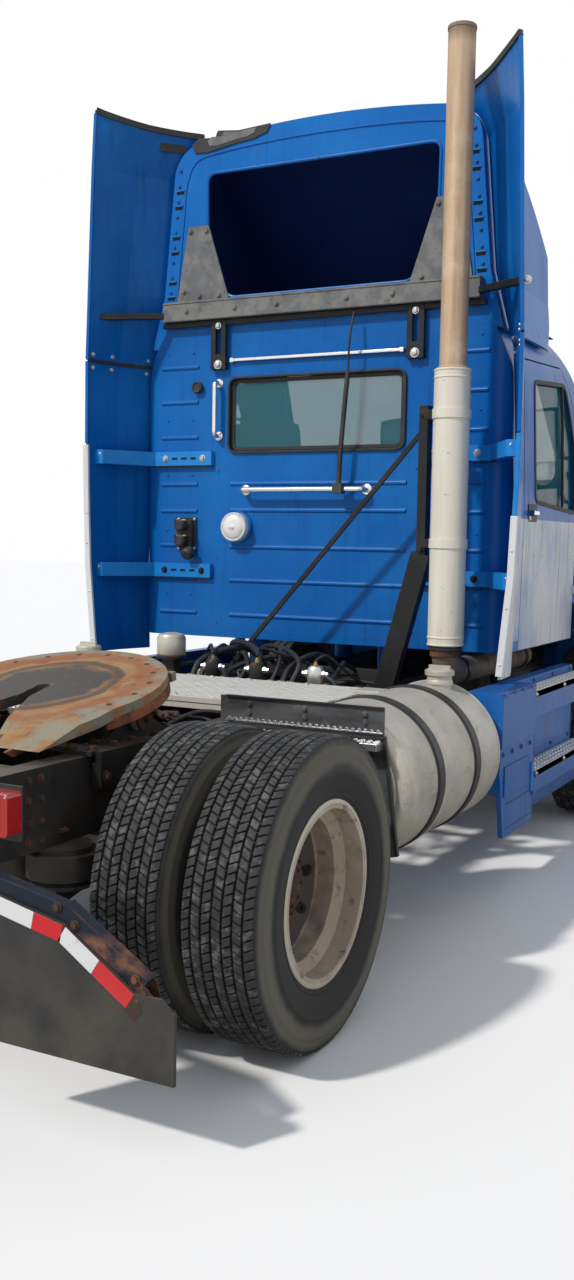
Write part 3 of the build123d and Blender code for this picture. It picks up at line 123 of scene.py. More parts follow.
def vectors(g, op, a, b=(0, 0, 0), out=0):
    return node(g, "VectorMath", {0: a, 1: b}, operation=op).outputs[out]


def buildPatches(g, i):
    spread = vectors(g, "MULTIPLY", objectPoint(g), i["Stretch"])
    return ramp(g, noise(g, i["Scale"], i["Detail"], spread, Roughness=0.62), i["Low"],
                i["High"], "SMOOTHSTEP")


def buildEdges(g, i):
    rounded = node(g, "Bevel", {"Radius": i["Width"]}, samples=4).outputs[0]
    dot = vectors(g, "DOT_PRODUCT", rounded, node(g, "NewGeometry").outputs["Normal"], "Value")
    bent = times(g, minus(g, 1.0, dot), i["Gain"], True)
    return times(g, bent, ramp(g, noise(g, i["Scale"], 3.0), 0.42, 0.62), True)


def buildLowAndUpward(g, i):
    low = ramp(g, node(g, "SeparateXYZ", {0: objectPoint(g)}).outputs["Z"], i["High"], i["Low"])
    upward = node(g, "SeparateXYZ", {0: node(g, "TexCoord").outputs["Normal"]}).outputs["Z"]
    both = plus(g, times(g, low, i["Amount"]), times(g, ramp(g, upward, 0.55, 0.95), i["Up"]))
    return times(g, both, ramp(g, noise(g, 7.0, 5.0), 0.3, 0.62), True)


def buildBand(g, i):
    along = vectors(g, "DOT_PRODUCT", objectPoint(g), i["Axis"], "Value")
    rise = ramp(g, along, minus(g, i["Low"], i["Soft"]), plus(g, i["Low"], i["Soft"]))
    return times(g, rise, ramp(g, along, plus(g, i["High"], i["Soft"]), minus(g, i["High"], i["Soft"])))


def buildRing(g, i):
    away = vectors(g, "MULTIPLY", vectors(g, "SUBTRACT", objectPoint(g), i["Centre"]), i["Keep"])
    wave = times(g, minus(g, noise(g, 9.0, 3.0), 0.5), i["Wobble"])
    far = plus(g, vectors(g, "LENGTH", away, out="Value"), wave)
    rise = ramp(g, far, minus(g, i["Low"], i["Soft"]), i["Low"])
    return times(g, rise, ramp(g, far, plus(g, i["High"], i["Soft"]), i["High"]))


def buildSurface(g, i):
    normal = node(g, "Bevel", {"Radius": i["Radius"]}, samples=4).outputs[0]
    for height, depth in ((noise(g, 1.7, 1.0), i["Dents"]), (noise(g, i["Scale"], 4.0), i["Grain"])):
        normal = node(g, "Bump", {"Height": height, "Normal": normal, "Strength": 1.0,
                                  "Distance": depth}).outputs[0]
    return normal


def makeGroup(name, build, out="Mask", **defaults):
    g = bpy.data.node_groups.new(name, "ShaderNodeTree")
    for label, value in defaults.items():
        kind = "NodeSocketVector" if isinstance(value, tuple) else "NodeSocketFloat"
        g.interface.new_socket(label, in_out="INPUT", socket_type=kind).default_value = value
    kind = "NodeSocketVector" if out == "Normal" else "NodeSocketFloat"
    g.interface.new_socket(out, in_out="OUTPUT", socket_type=kind)
    a, b = g.nodes.new("NodeGroupInput"), g.nodes.new("NodeGroupOutput")
    g.links.new(build(g, {s.name: s for s in a.outputs}), b.inputs[out])
    return g


groups = {
    "patches": makeGroup("patches", buildPatches, Scale=5.0, Low=0.5, High=0.7,
                         Detail=4.0, Stretch=(1, 1, 1)),
    "edges": makeGroup("edges", buildEdges, Width=0.004, Gain=8.0, Scale=14.0),
    "lowAndUpward": makeGroup("lowAndUpward", buildLowAndUpward, Low=0.3, High=1.5, Amount=1.0, Up=0.5),
    "band": makeGroup("band", buildBand, Axis=up, Low=0.0, High=1.0, Soft=0.002),
    "ring": makeGroup("ring", buildRing, Centre=(0, 0, 0), Keep=(0, 1, 1), Low=0.1, High=0.2,
                      Soft=0.02, Wobble=0.0),
    "surface": makeGroup("surface", buildSurface, "Normal", Radius=0.003, Scale=60.0,
                         Grain=0.0004, Dents=0.0),
}


def effect(tree, kind, settings):
    return node(tree, "Group", settings, node_tree=groups[kind]).outputs[0]


def blendIn(tree, fac, a, b, kind="RGBA"):
    n = node(tree, "Mix", data_type=kind)
    for socket, value in zip([s for s in n.inputs if s.enabled], (fac, a, b)):
        feed(tree, socket, value)
    return [s for s in n.outputs if s.enabled][0]


mats = {}


# A layer is (mask or list of masks, colour, roughness, amount, metallic if it changes).
# The layers lie over the base in order.
def material(name, colour, rough, metal=0.0, layers=(), grain=(60, 0.0003), dents=0.0, radius=0.003, **extra):
    m = mats[name] = bpy.data.materials.new(name)
    m.use_nodes = True
    t = m.node_tree
    b = t.nodes["Principled BSDF"]
    for masks, layerColour, layerRough, amount, *layerMetal in layers:
        fac, *others = [effect(t, *one) for one in (masks if isinstance(masks, list) else [masks])]
        for other in others:
            fac = times(t, fac, other)
        fac = times(t, fac, amount)
        colour = blendIn(t, fac, colour, layerColour)
        rough = blendIn(t, fac, rough, layerRough, "FLOAT")
        metal = blendIn(t, fac, metal, layerMetal[0], "FLOAT") if layerMetal else metal
    for label, value in (("Base Color", colour), ("Roughness", rough), ("Metallic", metal)):
        feed(t, b.inputs[label], value)
    if radius:
        surface = {"Radius": radius, "Scale": grain[0], "Grain": grain[1], "Dents": dents}
        t.links.new(effect(t, "surface", surface), b.inputs["Normal"])
    for k, v in extra.items():
        b.inputs[k.replace("_", " ")].default_value = v
    return m


def patches(scale, low, high, stretch=(1, 1, 1), detail=5.0):
    return "patches", {"Scale": scale, "Low": low, "High": high, "Stretch": stretch, "Detail": detail}


def edges(width=0.004, gain=8.0, scale=14.0):
    return "edges", {"Width": width, "Gain": gain, "Scale": scale}


# mask that rises towards the bottom and on upward faces, broken up by noise
def lowAndUpward(low, high, amount=1.0, upper=0.4):
    return "lowAndUpward", {"Low": low, "High": high, "Amount": amount, "Up": upper}


def band(low, high, soft=0.002):
    return "band", {"Axis": up, "Low": low, "High": high, "Soft": soft}


def ring(centre, low, high, soft=0.02, wobble=0.0, keep=(0, 1, 1)):
    return "ring", {"Centre": centre, "Keep": keep, "Low": low, "High": high, "Soft": soft, "Wobble": wobble}


tone = {
    "blue": (0.002, 0.118, 0.44),
    "fadedBlue": (0.01, 0.185, 0.56),
    "tan": (0.58, 0.42, 0.28),
    "dust": (0.36, 0.29, 0.2),
    "rust": (0.3, 0.095, 0.03),
    "darkRust": (0.1, 0.035, 0.018),
    "soot": (0.008, 0.008, 0.009),
    "rubber": (0.022, 0.023, 0.025),
}
streaky = (9.0, 9.0, 0.5)  # stretch of patches that run down


def paint(name, base, faded, dirt=1.0, split=None):  # white below the split, where there is one
    layers = [
        (patches(1.1, 0.38, 0.72), faded, 0.36, 0.75),
        (patches(3.0, 0.52, 0.78, streaky), tuple(c * 0.45 for c in base), 0.5, 0.5 * dirt),
        (patches(90.0, 0.66, 0.7, detail=2.0), tone["soot"], 0.7, 0.5),
        (edges(0.005, 10.0), tone["darkRust"], 0.8, 0.75),
        (lowAndUpward(0.3, 1.1, 0.8, 0.22), tone["dust"], 0.85, 0.26 * dirt),
    ]
    if split:
        lower = band(-1.0, split)
        streaks = ([lower, patches(2.2, 0.5, 0.75, streaky)], (0.44, 0.44, 0.42), 0.6, 0.5)
        layers = [(lower, (0.74, 0.76, 0.78), 0.45, 1.0), streaks, *layers]
    material(name, base, 0.3, 0.0, layers, (160, 0.00012), 0.012, Specular_IOR_Level=0.2)


def chassisPaint(name, base, dust, rust):
    material(name, base, 0.42, 0.0, [
        (patches(6.0, 0.45, 0.7), (0.034, 0.033, 0.032), 0.62, 0.7),
        (patches(11.0, 0.6, 0.72), tone["darkRust"], 0.85, rust),
        (lowAndUpward(0.2, 1.2, 0.7, 0.9), tone["dust"], 0.92, dust * 0.35),
        (edges(0.006, 9.0), tone["rust"], 0.85, rust),
    ], (120, 0.0005), Specular_IOR_Level=0.3)


def tape(name, colour, worn):
    layers = [(patches(15.0, 0.58, 0.72), worn, 0.6, 0.6),
              (lowAndUpward(0.3, 0.6, 0.5, 0.0), tone["dust"], 0.9, 0.3)]
    material(name, colour, 0.35, 0.0, layers, (700, 0.0004))


def lens(name, colour, rough, layer, grain=(300, 0.0005)):
    material(name, colour, rough, 0.0, [layer], grain, Coat_Weight=0.6)


def glass(name, colour, alpha):
    milky = (patches(3.0, 0.5, 0.8), tuple(0.6 * c + 0.25 for c in colour), 0.2, 0.4)
    material(name, colour, 0.05, 0.0, [milky], radius=0, Alpha=alpha, Specular_IOR_Level=0.7)


def makePaints():
    paint("cabBlue", tone["blue"], tone["fadedBlue"])
    paint("sideBlue", tone["blue"], tone["fadedBlue"], split=1.78)
    paint("freshBlue", (0.006, 0.22, 0.66), (0.05, 0.33, 0.8), 0.4)
    paint("fairingBlue", (0.003, 0.15, 0.53), (0.012, 0.215, 0.64), 0.7)
    # dark navy for the fairing's inner faces: partly its own darker paint, partly painted shade inside the
    # fairing
    material("navyAndShade", (0.0012, 0.019, 0.11), 0.6, 0.0,
             [(patches(2.0, 0.4, 0.7), (0.002, 0.03, 0.15), 0.7, 0.8)])
    material("white", (0.74, 0.76, 0.78), 0.35, 0.0, [
        (patches(4.0, 0.5, 0.75, streaky), (0.45, 0.46, 0.47), 0.6, 0.6),
        (edges(), (0.23, 0.225, 0.21), 0.7, 0.7),
    ])
    chassisPaint("chassis", (0.018, 0.018, 0.02), 0.6, 0.4)
    chassisPaint("chassisClean", (0.012, 0.013, 0.015), 0.2, 0.12)
    material("guard", (0.06, 0.064, 0.07), 0.28, 0.2, [
        # lighter grey metallic patches on the dark guard: painted sheen
        (patches(3.0, 0.38, 0.65, (0.6, 1, 3)), (0.17, 0.175, 0.18), 0.38, 0.8, 0.3),
        (patches(22.0, 0.6, 0.72), tone["dust"], 0.8, 0.25, 0.0),
    ], (90, 0.0004))
    material("hanger", (0.009, 0.016, 0.031), 0.42, 0.0, [
        (patches(11.0, 0.6, 0.72), tone["darkRust"], 0.85, 0.6),
        (patches(5.0, 0.5, 0.7), tone["dust"], 0.9, 0.12),
        ([band(0.505, 0.575, 0.012), patches(6.0, 0.36, 0.5)], (0.24, 0.105, 0.065), 0.85, 0.9),
        (edges(0.006, 9.0), tone["rust"], 0.85, 0.5),
    ], (120, 0.0005), Specular_IOR_Level=0.3)


def makeMetals():
    material("aluminium", (0.56, 0.53, 0.46), 0.45, 0.3, [
        (patches(2.6, 0.45, 0.72), (0.36, 0.34, 0.29), 0.6, 0.75, 0.2),
        (patches(5.0, 0.56, 0.74, (1, 1, 4)), (0.3, 0.25, 0.19), 0.75, 0.6, 0.1),
        (patches(70.0, 0.62, 0.68), (0.2, 0.16, 0.12), 0.8, 0.5, 0.0),
        # darker brown towards the bottom of the tank
        (lowAndUpward(0.38, 0.85, 1.0, 0.0), (0.17, 0.1, 0.06), 0.9, 0.6, 0.0),
    ], (40, 0.0004), 0.03)
    material("tread", (0.76, 0.76, 0.74), 0.4, 0.3, [
        (patches(9.0, 0.5, 0.75), (0.5, 0.49, 0.46), 0.6, 0.6, 0.2),
        (patches(40.0, 0.62, 0.72), (0.2, 0.18, 0.15), 0.8, 0.5, 0.0),
    ], (140, 0.0003))
    material("deck", (0.78, 0.75, 0.66), 0.45, 0.3, [
        (patches(7.0, 0.48, 0.75), (0.45, 0.41, 0.33), 0.7, 0.7, 0.1),
        (patches(30.0, 0.62, 0.72), (0.14, 0.11, 0.08), 0.8, 0.6, 0.0),
    ], (90, 0.0003))
    pipe, foot = band(2.458, 9.0), band(-9.0, 1.17)  # the stack above and the pipe below the muffler
    material("exhaust", (0.78, 0.74, 0.64), 0.45, 0.1, [
        (patches(2.5, 0.45, 0.75, streaky), (0.6, 0.54, 0.43), 0.6, 0.7),
        (pipe, tone["tan"], 0.5, 1.0, 0.25),
        ([pipe, patches(2.5, 0.45, 0.7, streaky)], (0.42, 0.27, 0.16), 0.6, 0.8, 0.2),
        ([pipe, patches(4.0, 0.5, 0.75)], (0.72, 0.6, 0.45), 0.5, 0.7, 0.25),
        (band(3.93, 9.0, 0.03), tone["soot"], 0.9, 0.5, 0.0),
        (foot, (0.21, 0.165, 0.12), 0.75, 1.0, 0.35),
        ([foot, patches(8.0, 0.45, 0.65)], (0.07, 0.04, 0.025), 0.9, 0.75, 0.1),
        (patches(50.0, 0.66, 0.72), tone["darkRust"], 0.85, 0.6, 0.0),
    ], (80, 0.0003), 0.004)
    material("greyFrame", (0.14, 0.15, 0.16), 0.75, 0.0, [
        (patches(9.0, 0.42, 0.62), (0.235, 0.235, 0.225), 0.85, 0.9),
        (patches(14.0, 0.55, 0.7), (0.13, 0.11, 0.085), 0.9, 0.8),
        (patches(40.0, 0.62, 0.7), (0.06, 0.07, 0.05), 0.9, 0.6),
        (edges(), tone["rust"], 0.85, 0.6),
    ], (110, 0.0008))
    material("steel", (0.62, 0.62, 0.62), 0.35, 0.85, [
        (patches(14.0, 0.5, 0.7), (0.36, 0.33, 0.29), 0.6, 0.7, 0.5),
        (patches(34.0, 0.62, 0.7), tone["rust"], 0.85, 0.6, 0.1),
    ])
    material("bright", (0.84, 0.84, 0.86), 0.16, 0.9,
             [(patches(9.0, 0.5, 0.75), (0.55, 0.53, 0.5), 0.4, 0.6, 0.8)])
    material("rustySteel", (0.055, 0.03, 0.022), 0.85, 0.1, [
        (patches(10.0, 0.48, 0.66), (0.2, 0.075, 0.03), 0.9, 0.8, 0.0),
        (patches(26.0, 0.55, 0.72), (0.32, 0.13, 0.05), 0.95, 0.5, 0.0),
    ], (120, 0.001))
    red = (patches(10.0, 0.42, 0.62), tone["darkRust"], 0.9, 0.8, 0.0)
    material("redSteel", (0.36, 0.12, 0.06), 0.85, 0.0, [red], (120, 0.001))
    material("brass", (0.52, 0.36, 0.14), 0.4, 0.8,
             [(patches(20.0, 0.45, 0.65), (0.16, 0.12, 0.07), 0.7, 0.7, 0.4)])
    worn = (patches(7.0, 0.55, 0.8), (0.6, 0.62, 0.62), 0.25, 0.5)
    material("mirrorGlass", (0.8, 0.84, 0.86), 0.04, 1.0, [worn], (30, 0.00002))


def makeSoftFinishes():
    material("rubber", tone["rubber"], 0.7, 0.0, [
        (patches(5.0, 0.45, 0.7), (0.042, 0.041, 0.038), 0.85, 0.7),
        (lowAndUpward(0.2, 0.7, 0.7, 0.3), tone["dust"], 0.95, 0.2),
    ], (200, 0.0004))
    for name, colour, rough, layer, grain in (
        ("seal", (0.015, 0.015, 0.016), 0.6, (patches(8.0, 0.5, 0.7), (0.05, 0.05, 0.05), 0.8, 0.7), 220),
        ("hose", (0.016, 0.016, 0.018), 0.48, (patches(12.0, 0.5, 0.7), (0.06, 0.052, 0.04), 0.8, 0.6), 260),
        ("plastic", (0.022, 0.022, 0.024), 0.5, (patches(6.0, 0.45, 0.7), (0.06, 0.06, 0.06), 0.7, 0.7), 420),
        # near-black finish: black parts such as dial faces, and painted shade inside holes, slots and
        # recesses
        ("blackAndHoleShade", (0.002, 0.002, 0.0025), 0.95,
         (patches(20.0, 0.5, 0.7), (0.008, 0.007, 0.006), 0.95, 0.6), 60),
    ):
        material(name, colour, rough, 0.0, [layer], (grain, 0.0003))
    material("cloth", (0.055, 0.06, 0.07), 0.95, 0.0, [
        (patches(300.0, 0.4, 0.6, detail=1.0), (0.1, 0.11, 0.13), 0.95, 0.8),
        (patches(4.0, 0.5, 0.75), (0.15, 0.14, 0.12), 0.95, 0.35),
    ], (900, 0.0006), radius=0.004)
    creased = (patches(3.0, 0.45, 0.7), (0.22, 0.21, 0.2), 0.75, 0.6)
    material("vinyl", (0.14, 0.14, 0.145), 0.6, 0.0, [creased], (500, 0.0004))
    tape("tapeRed", (0.62, 0.012, 0.016), (0.3, 0.02, 0.02))
    tape("tapeWhite", (0.78, 0.79, 0.8), (0.5, 0.48, 0.44))
    lens("lensRed", (0.45, 0.008, 0.008), 0.22, (patches(9.0, 0.55, 0.75), (0.25, 0.03, 0.02), 0.6, 0.6))
    lens("lensAmber", (0.75, 0.24, 0.02), 0.22, (patches(9.0, 0.55, 0.75), (0.45, 0.13, 0.02), 0.6, 0.5))
    milky = (patches(14.0, 0.5, 0.75), (0.66, 0.64, 0.58), 0.5, 0.7)
    lens("lensClear", (0.86, 0.86, 0.83), 0.25, milky, (260, 0.0006))
    glass("glass", (0.02, 0.2, 0.26), 0.38)
    glass("lampGlass", (0.75, 0.78, 0.8), 0.3)


wheelZ, frontAxle, rearAxle = 0.515, -1.83, 2.21  # heights and places of the axles


# bowl sets how strongly the wheel's dish round the hub is darkened with painted shade
def makeWheelFinishes(end, y, bowl):
    axle = (0, y, wheelZ)
    material("tyre" + end, tone["rubber"], 0.72, 0.0, [
        (patches(8.0, 0.45, 0.7), (0.042, 0.044, 0.046), 0.85, 0.8),
        (ring(axle, 0.43, 0.476, 0.022, 0.03), (0.17, 0.158, 0.125), 0.95, 0.8),
        (ring(axle, 0.3, 0.385, 0.03, 0.03), (0.016, 0.016, 0.015), 0.85, 0.8),
        ([ring(axle, 0.506, 0.6, 0.004), patches(26.0, 0.5, 0.66)], (0.155, 0.16, 0.158), 0.95, 0.7),
    ], (260, 0.0005))
    material("rim" + end, (0.46, 0.38, 0.29), 0.65, 0.15, [
        (patches(7.0, 0.42, 0.68), (0.6, 0.52, 0.42), 0.7, 0.8, 0.1),
        (patches(16.0, 0.54, 0.7), (0.1, 0.07, 0.045), 0.9, 0.7, 0.0),
        # dark disc round the hub: painted shade in the wheel's dish
        (ring(axle, 0.0, 0.235, 0.01, 0.02), (0.02, 0.018, 0.016), 0.85, bowl, 0.0),
        # bright ring on the rim's flange: partly worn bare edge, partly painted highlight
        (ring(axle, 0.292, 0.32, 0.003), (0.62, 0.57, 0.48), 0.5, 0.9, 0.3),
    ], (60, 0.0006))


def makeCouplerFinish():
    def worn(low, high, soft, wobble):
        return ring((0, 2.16, 1.1), low, high, soft, wobble, (1, 1, 0))

    material("coupler", (0.33, 0.17, 0.065), 0.7, 0.15, [
        (patches(5.0, 0.42, 0.65), (0.38, 0.235, 0.115), 0.75, 0.8, 0.1),
        (patches(9.0, 0.5, 0.68), (0.24, 0.075, 0.03), 0.85, 0.8, 0.0),
        (worn(0.335, 0.4, 0.03, 0.16), (0.27, 0.085, 0.035), 0.8, 0.6, 0.0),
        (worn(0.0, 0.2, 0.06, 0.24), (0.036, 0.037, 0.037), 0.6, 0.96, 0.1),
        (worn(0.25, 0.275, 0.012, 0.06), (0.045, 0.03, 0.02), 0.6, 0.8, 0.1),
        ([worn(0.395, 0.7, 0.02, 0.12), patches(7.0, 0.38, 0.56)], (0.27, 0.27, 0.21), 0.75, 0.85, 0.2),
        (patches(30.0, 0.58, 0.7), (0.045, 0.04, 0.035), 0.45, 0.7, 0.0),
        (edges(0.006, 9.0, 30.0), (0.36, 0.33, 0.27), 0.5, 0.7, 0.5),
    ], (70, 0.0012))


makePaints()
makeMetals()
makeSoftFinishes()
makeWheelFinishes("Front", frontAxle, 0.5)
makeWheelFinishes("Rear", rearAxle, 0.85)
makeCouplerFinish()

wear = {  # finish of each node of the frame
    "cabBlue": ("cab_floor", "cab_front", "cab_rear_wall", "cab_roof", "chassis_steps",
                "front_bumper", "hood"),
    "sideBlue": ("cab_sides", "door_left", "door_right", "side_extenders"),
    "glass": ("cab_glass", "door_glass_left", "door_glass_right"),
    "plastic": ("dashboard", "grille", "mirror_left", "mirror_right", "tail_lamps"),
    "chassis": ("driveline", "engine", "fifth_wheel_base", "frame_rails", "front_axle", "front_springs",
                "knuckle_left", "knuckle_right", "rear_axle", "rear_suspension", "tie_rod"),
    "tyreFront": ("front_tyre_left", "front_tyre_right"),
    "rimFront": ("front_wheel_left", "front_wheel_right"),
    "tyreRear": ("rear_tyres_left", "rear_tyres_right"), "rimRear": ("rear_wheels_left", "rear_wheels_right"),
    "aluminium": ("fuel_tanks",), "bright": ("wall_fittings",), "chassisClean": ("stack_support",),
    "cloth": ("seats",), "coupler": ("fifth_wheel_plate",), "deck": ("deck_plate",),
    "exhaust": ("exhaust_stack",),
    "fairingBlue": ("roof_fairing",), "freshBlue": ("extender_brackets",), "greyFrame": ("fairing_frame",),
    "guard": ("rear_guards",), "hanger": ("flap_hangers",), "lampGlass": ("headlamps",),
    "rubber": ("mud_flaps",),
}
for key, names in wear.items():
    for name in names:
        nodes[name].data.materials.clear()
        nodes[name].data.materials.append(mats[key])


def dress(name, key, test):  # a second finish for the faces of a node where test(centre, normal) holds
    me = nodes[name].data
    me.materials.append(mats[key])
    for p in me.polygons:
        if test(p.center, p.normal):
            p.material_index = len(me.materials) - 1


print("materials ready")


# Shape helpers
def axesOf(axis):
    w = Vector(axis).normalized()
    u = w.orthogonal().normalized() if abs(w.z) > 0.9 else Vector(up).cross(w).normalized()
    return u, w.cross(u), w


def turns(count, shift=0.0):  # angles of even steps round a circle
    return [2 * math.pi * (k + shift) / count for k in range(count)]


def circle(u, v, r, steps):
    return [(u * math.cos(a) + v * math.sin(a)) * r for a in turns(steps)]


def grid(xs, ys, zs):  # points of a lattice, where a plain number stands for a single place
    xs, ys, zs = (a if isinstance(a, tuple) else (a,) for a in (xs, ys, zs))
    return [(x, y, z) for x in xs for y in ys for z in zs]


def corners(x0, x1, y0, y1):
    return [(x0, y0), (x1, y0), (x1, y1), (x0, y1)]


def courses(points, closed):  # each point of a path with its direction there
    pts = [Vector(p) for p in points]
    n = len(pts)
    for i, p in enumerate(pts):
        ahead = pts[(i + 1) % n] if closed or i < n - 1 else p
        behind = pts[i - 1] if closed or i else p
        yield p, (ahead - behind).normalized()


def rounded(outline, r, steps=5):  # rounds the turns of an outline
    out, n = [], len(outline)
    for i, c in enumerate(outline):
        c, a, b = Vector(c), Vector(outline[i - 1]), Vector(outline[(i + 1) % n])
        p, q = c + (a - c).normalized() * r, c + (b - c).normalized() * r
        for k in range(steps + 1):
            t = k / steps
            out.append(p * (1 - t) ** 2 + c * 2 * t * (1 - t) + q * t * t)
    return out


def roundedBox(x0, x1, y0, y1, r, steps=4):
    return rounded(corners(x0, x1, y0, y1), r, steps)


def dense(loop, gap):  # more points on the long stretches of a closed outline
    out = []
    for a, b in zip(loop, [*loop[1:], loop[0]]):
        n = max(1, int((b - a).length / gap))
        out += [a + (b - a) * k / n for k in range(n)]
    return out


def arcPath(points, steps=6):  # a smooth path through the points
    pts = [Vector(p) for p in points]
    pts = [pts[0] * 2 - pts[1], *pts, pts[-1] * 2 - pts[-2]]
    out = []
    for a, b, c, d in zip(pts, pts[1:], pts[2:], pts[3:]):
        for t in (k / steps for k in range(steps)):
            square, cube = 2 * a - 5 * b + 4 * c - d, 3 * b - a - 3 * c + d
            out.append(0.5 * (2 * b + (c - a) * t + square * t * t + cube * t ** 3))
    return [*out, pts[-2]]


def between(rows, z):  # straight lines through (height, value) rows
    for (a, x), (b, y) in zip(rows, rows[1:]):
        if z <= b:
            return x + (y - x) * (z - a) / (b - a)
    return rows[-1][1]


def parabola(rows, t):  # the curve through three (place, value) rows
    total = 0
    for i, (a, value) in enumerate(rows):
        for b in (rows[j][0] for j in range(3) if j != i):
            value *= (t - b) / (a - b)
        total += value
    return total


class Shape:  # one mesh for each piece, built from parts
    def __init__(self, key):
        self.verts, self.faces, self.slots, self.keys, self.place = [], [], [], [], None
        self.use(key)

    def use(self, key):
        if key not in self.keys:
            self.keys.append(key)
        self.now = self.keys.index(key)
        return self

    def put(self, verts, faces):
        base = len(self.verts)
        if self.place:
            verts = [self.place @ Vector(v) for v in verts]
        self.verts += [tuple(v) for v in verts]
        self.faces += [tuple(base + i for i in f) for f in faces]
        self.slots += [self.now] * len(faces)
        return self

    def box(self, x0, x1, y0, y1, z0, z1):
        return self.plate(corners(x0, x1, y0, y1), z0, z1)

    def plate(self, outline, lo, hi, axis="z"):  # an outline over the two other axes, from lo to hi
        lo, hi = sorted((lo, hi))
        area = sum(a[0] * b[1] - b[0] * a[1] for a, b in zip(outline, [*outline[1:], outline[0]]))
        if (area < 0) != (axis == "y"):
            outline = outline[::-1]
        n, spot = len(outline), "xyz".index(axis)
        verts = [(*p[:spot], h, *p[spot:]) for h in (lo, hi) for p in outline]
        edge = [(i, (i + 1) % n, n + (i + 1) % n, n + i) for i in range(n)]
        return self.put(verts, [tuple(range(n))[::-1], tuple(range(n, 2 * n)), *edge])

    # (radius, along) points turned about an axis; radius 0 closes an end
    def lathe(self, profile, centre, axis, steps=24, closed=False):
        u, v, w = axesOf(axis)
        rings, verts, faces = [], [], []
        for r, h in profile:
            at = Vector(centre) + w * h
            if r < 1e-6:
                rings.append([len(verts)] * steps)
                verts.append(at)
            else:
                rings.append(list(range(len(verts), len(verts) + steps)))
                verts += [at + p for p in circle(u, v, r, steps)]
        for a, b in [*zip(rings, rings[1:]), *([(rings[-1], rings[0])] if closed else [])]:
            for k in range(steps):
                face = tuple(dict.fromkeys((a[k], a[(k + 1) % steps], b[(k + 1) % steps], b[k])))
                if len(face) > 2:
                    faces.append(face)
        return self.put(verts, faces)

    def pipe(self, centre, axis, outer, inner, h, steps=28):
        return self.lathe([(inner, 0), (outer, 0), (outer, h), (inner, h)], centre, axis, steps, True)

    def sweep(self, rings, closed):  # rings of points joined in turn, with flat ends
        steps, rows, faces = len(rings[0]), len(rings), []
        for i in range(rows if closed else rows - 1):
            a, b = i * steps, (i + 1) % rows * steps
            faces += [(a + k, a + (k + 1) % steps, b + (k + 1) % steps, b + k) for k in range(steps)]
        if not closed:
            faces += [tuple(range(steps))[::-1], tuple(range((rows - 1) * steps, rows * steps))]
        return self.put([p for r in rings for p in r], faces)

    def tube(self, points, r, steps=10, closed=False):
        rings, side = [], None
        for p, t in courses(points, closed):
            side = axesOf(t)[0] if side is None else (side - t * side.dot(t)).normalized()
            rings.append([p + q for q in circle(side, t.cross(side), r, steps)])
        return self.sweep(rings, closed)

    def hose(self, points, r, steps=8):
        return self.tube(arcPath(points), r, steps)

    # a flat bar, where width lies across the path and height along above
    def strip(self, points, width, height, above=up, closed=False):
        rings = []
        for p, t in courses(points, closed):
            side = t.cross(Vector(above)).normalized()
            a, b = side * width / 2, side.cross(t) * height / 2
            rings.append([p - a + b, p + a + b, p + a - b, p - a - b])
        return self.sweep(rings, closed)

    def bolt(self, at, axis, r=0.011, h=0.008):
        self.lathe([(0, 0), (r * 1.45, 0), (r * 1.45, 0.0025), (r, 0.0025)], at, axis, 12)
        return self.lathe([(r, 0.002), (r, h), (r * 0.8, h + 0.002), (0, h + 0.002)], at, axis, 6)

    def bolts(self, places, axis, r=0.011, h=0.008):
        for at in places:
            self.bolt(at, axis, r, h)
        return self

    def rivets(self, places, axis, r=0.006):
        for at in places:
            self.lathe([(r, 0), (r * 0.8, r * 0.35), (r * 0.4, r * 0.55), (0, r * 0.6)], at, axis, 8)

    def ball(self, at, r, squeeze=1.0, steps=14):
        half = steps // 2
        arc = [math.pi * k / half for k in range(half + 1)]
        return self.lathe([(r * math.sin(a), -r * squeeze * math.cos(a)) for a in arc], at, up, steps)

    def mirrored(self):
        n = len(self.verts)
        self.verts += [(-x, y, z) for x, y, z in self.verts]
        self.faces += [tuple(n + i for i in f)[::-1] for f in self.faces]
        self.slots += self.slots[:]
        return self

    def make(self, name, body, slotName, bevel=0.0, sharp=38):
        me = bpy.data.meshes.new(name)
        me.from_pydata(self.verts, [], self.faces)
        for k in self.keys:
            me.materials.append(mats[k])
        me.polygons.foreach_set("material_index", self.slots)
        me.shade_smooth()
        me.set_sharp_from_angle(angle=math.radians(sharp))
        o = bpy.data.objects.new(name, me)
        bpy.context.collection.objects.link(o)
        if bevel:
            b = o.modifiers.new("bevel", "BEVEL")
            b.width, b.segments, b.limit_method, b.angle_limit = bevel, 2, "ANGLE", math.radians(50)
            b.harden_normals = True
        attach(o, body)
        return o


tyre = {
    "radius": 0.5135, "base": 0.5005, "baseHalf": 0.118, "treadWidth": 0.242,
    "ribGap": 0.0075, "chamfer": 0.0022,
    "edgeDrop": 0.004,  # the outer ribs' outer edges lie lower
    "front": {"rows": 5, "blocks": 90, "gap": 0.0022, "slant": 0.01, "places": (1.04,)},
    "rear": {"rows": 7, "blocks": 104, "gap": 0.0052, "slant": 0.006, "places": (1.075, 0.74)},
    "wall": [  # sidewall from the rim to the tread, as (radius, distance from the middle)
        (0.288, 0.094), (0.299, 0.099), (0.3045, 0.11), (0.307, 0.1175), (0.315, 0.1195), (0.3175, 0.1235),
        (0.3215, 0.124), (0.3245, 0.1225), (0.34, 0.1292), (0.362, 0.1345), (0.385, 0.1378), (0.392, 0.14),
        (0.399, 0.1396), (0.402, 0.1375), (0.428, 0.1362), (0.447, 0.133), (0.453, 0.1345), (0.459, 0.1338),
        (0.462, 0.131), (0.484, 0.1262), (0.489, 0.1275), (0.494, 0.1262), (0.499, 0.1225),
    ],
}


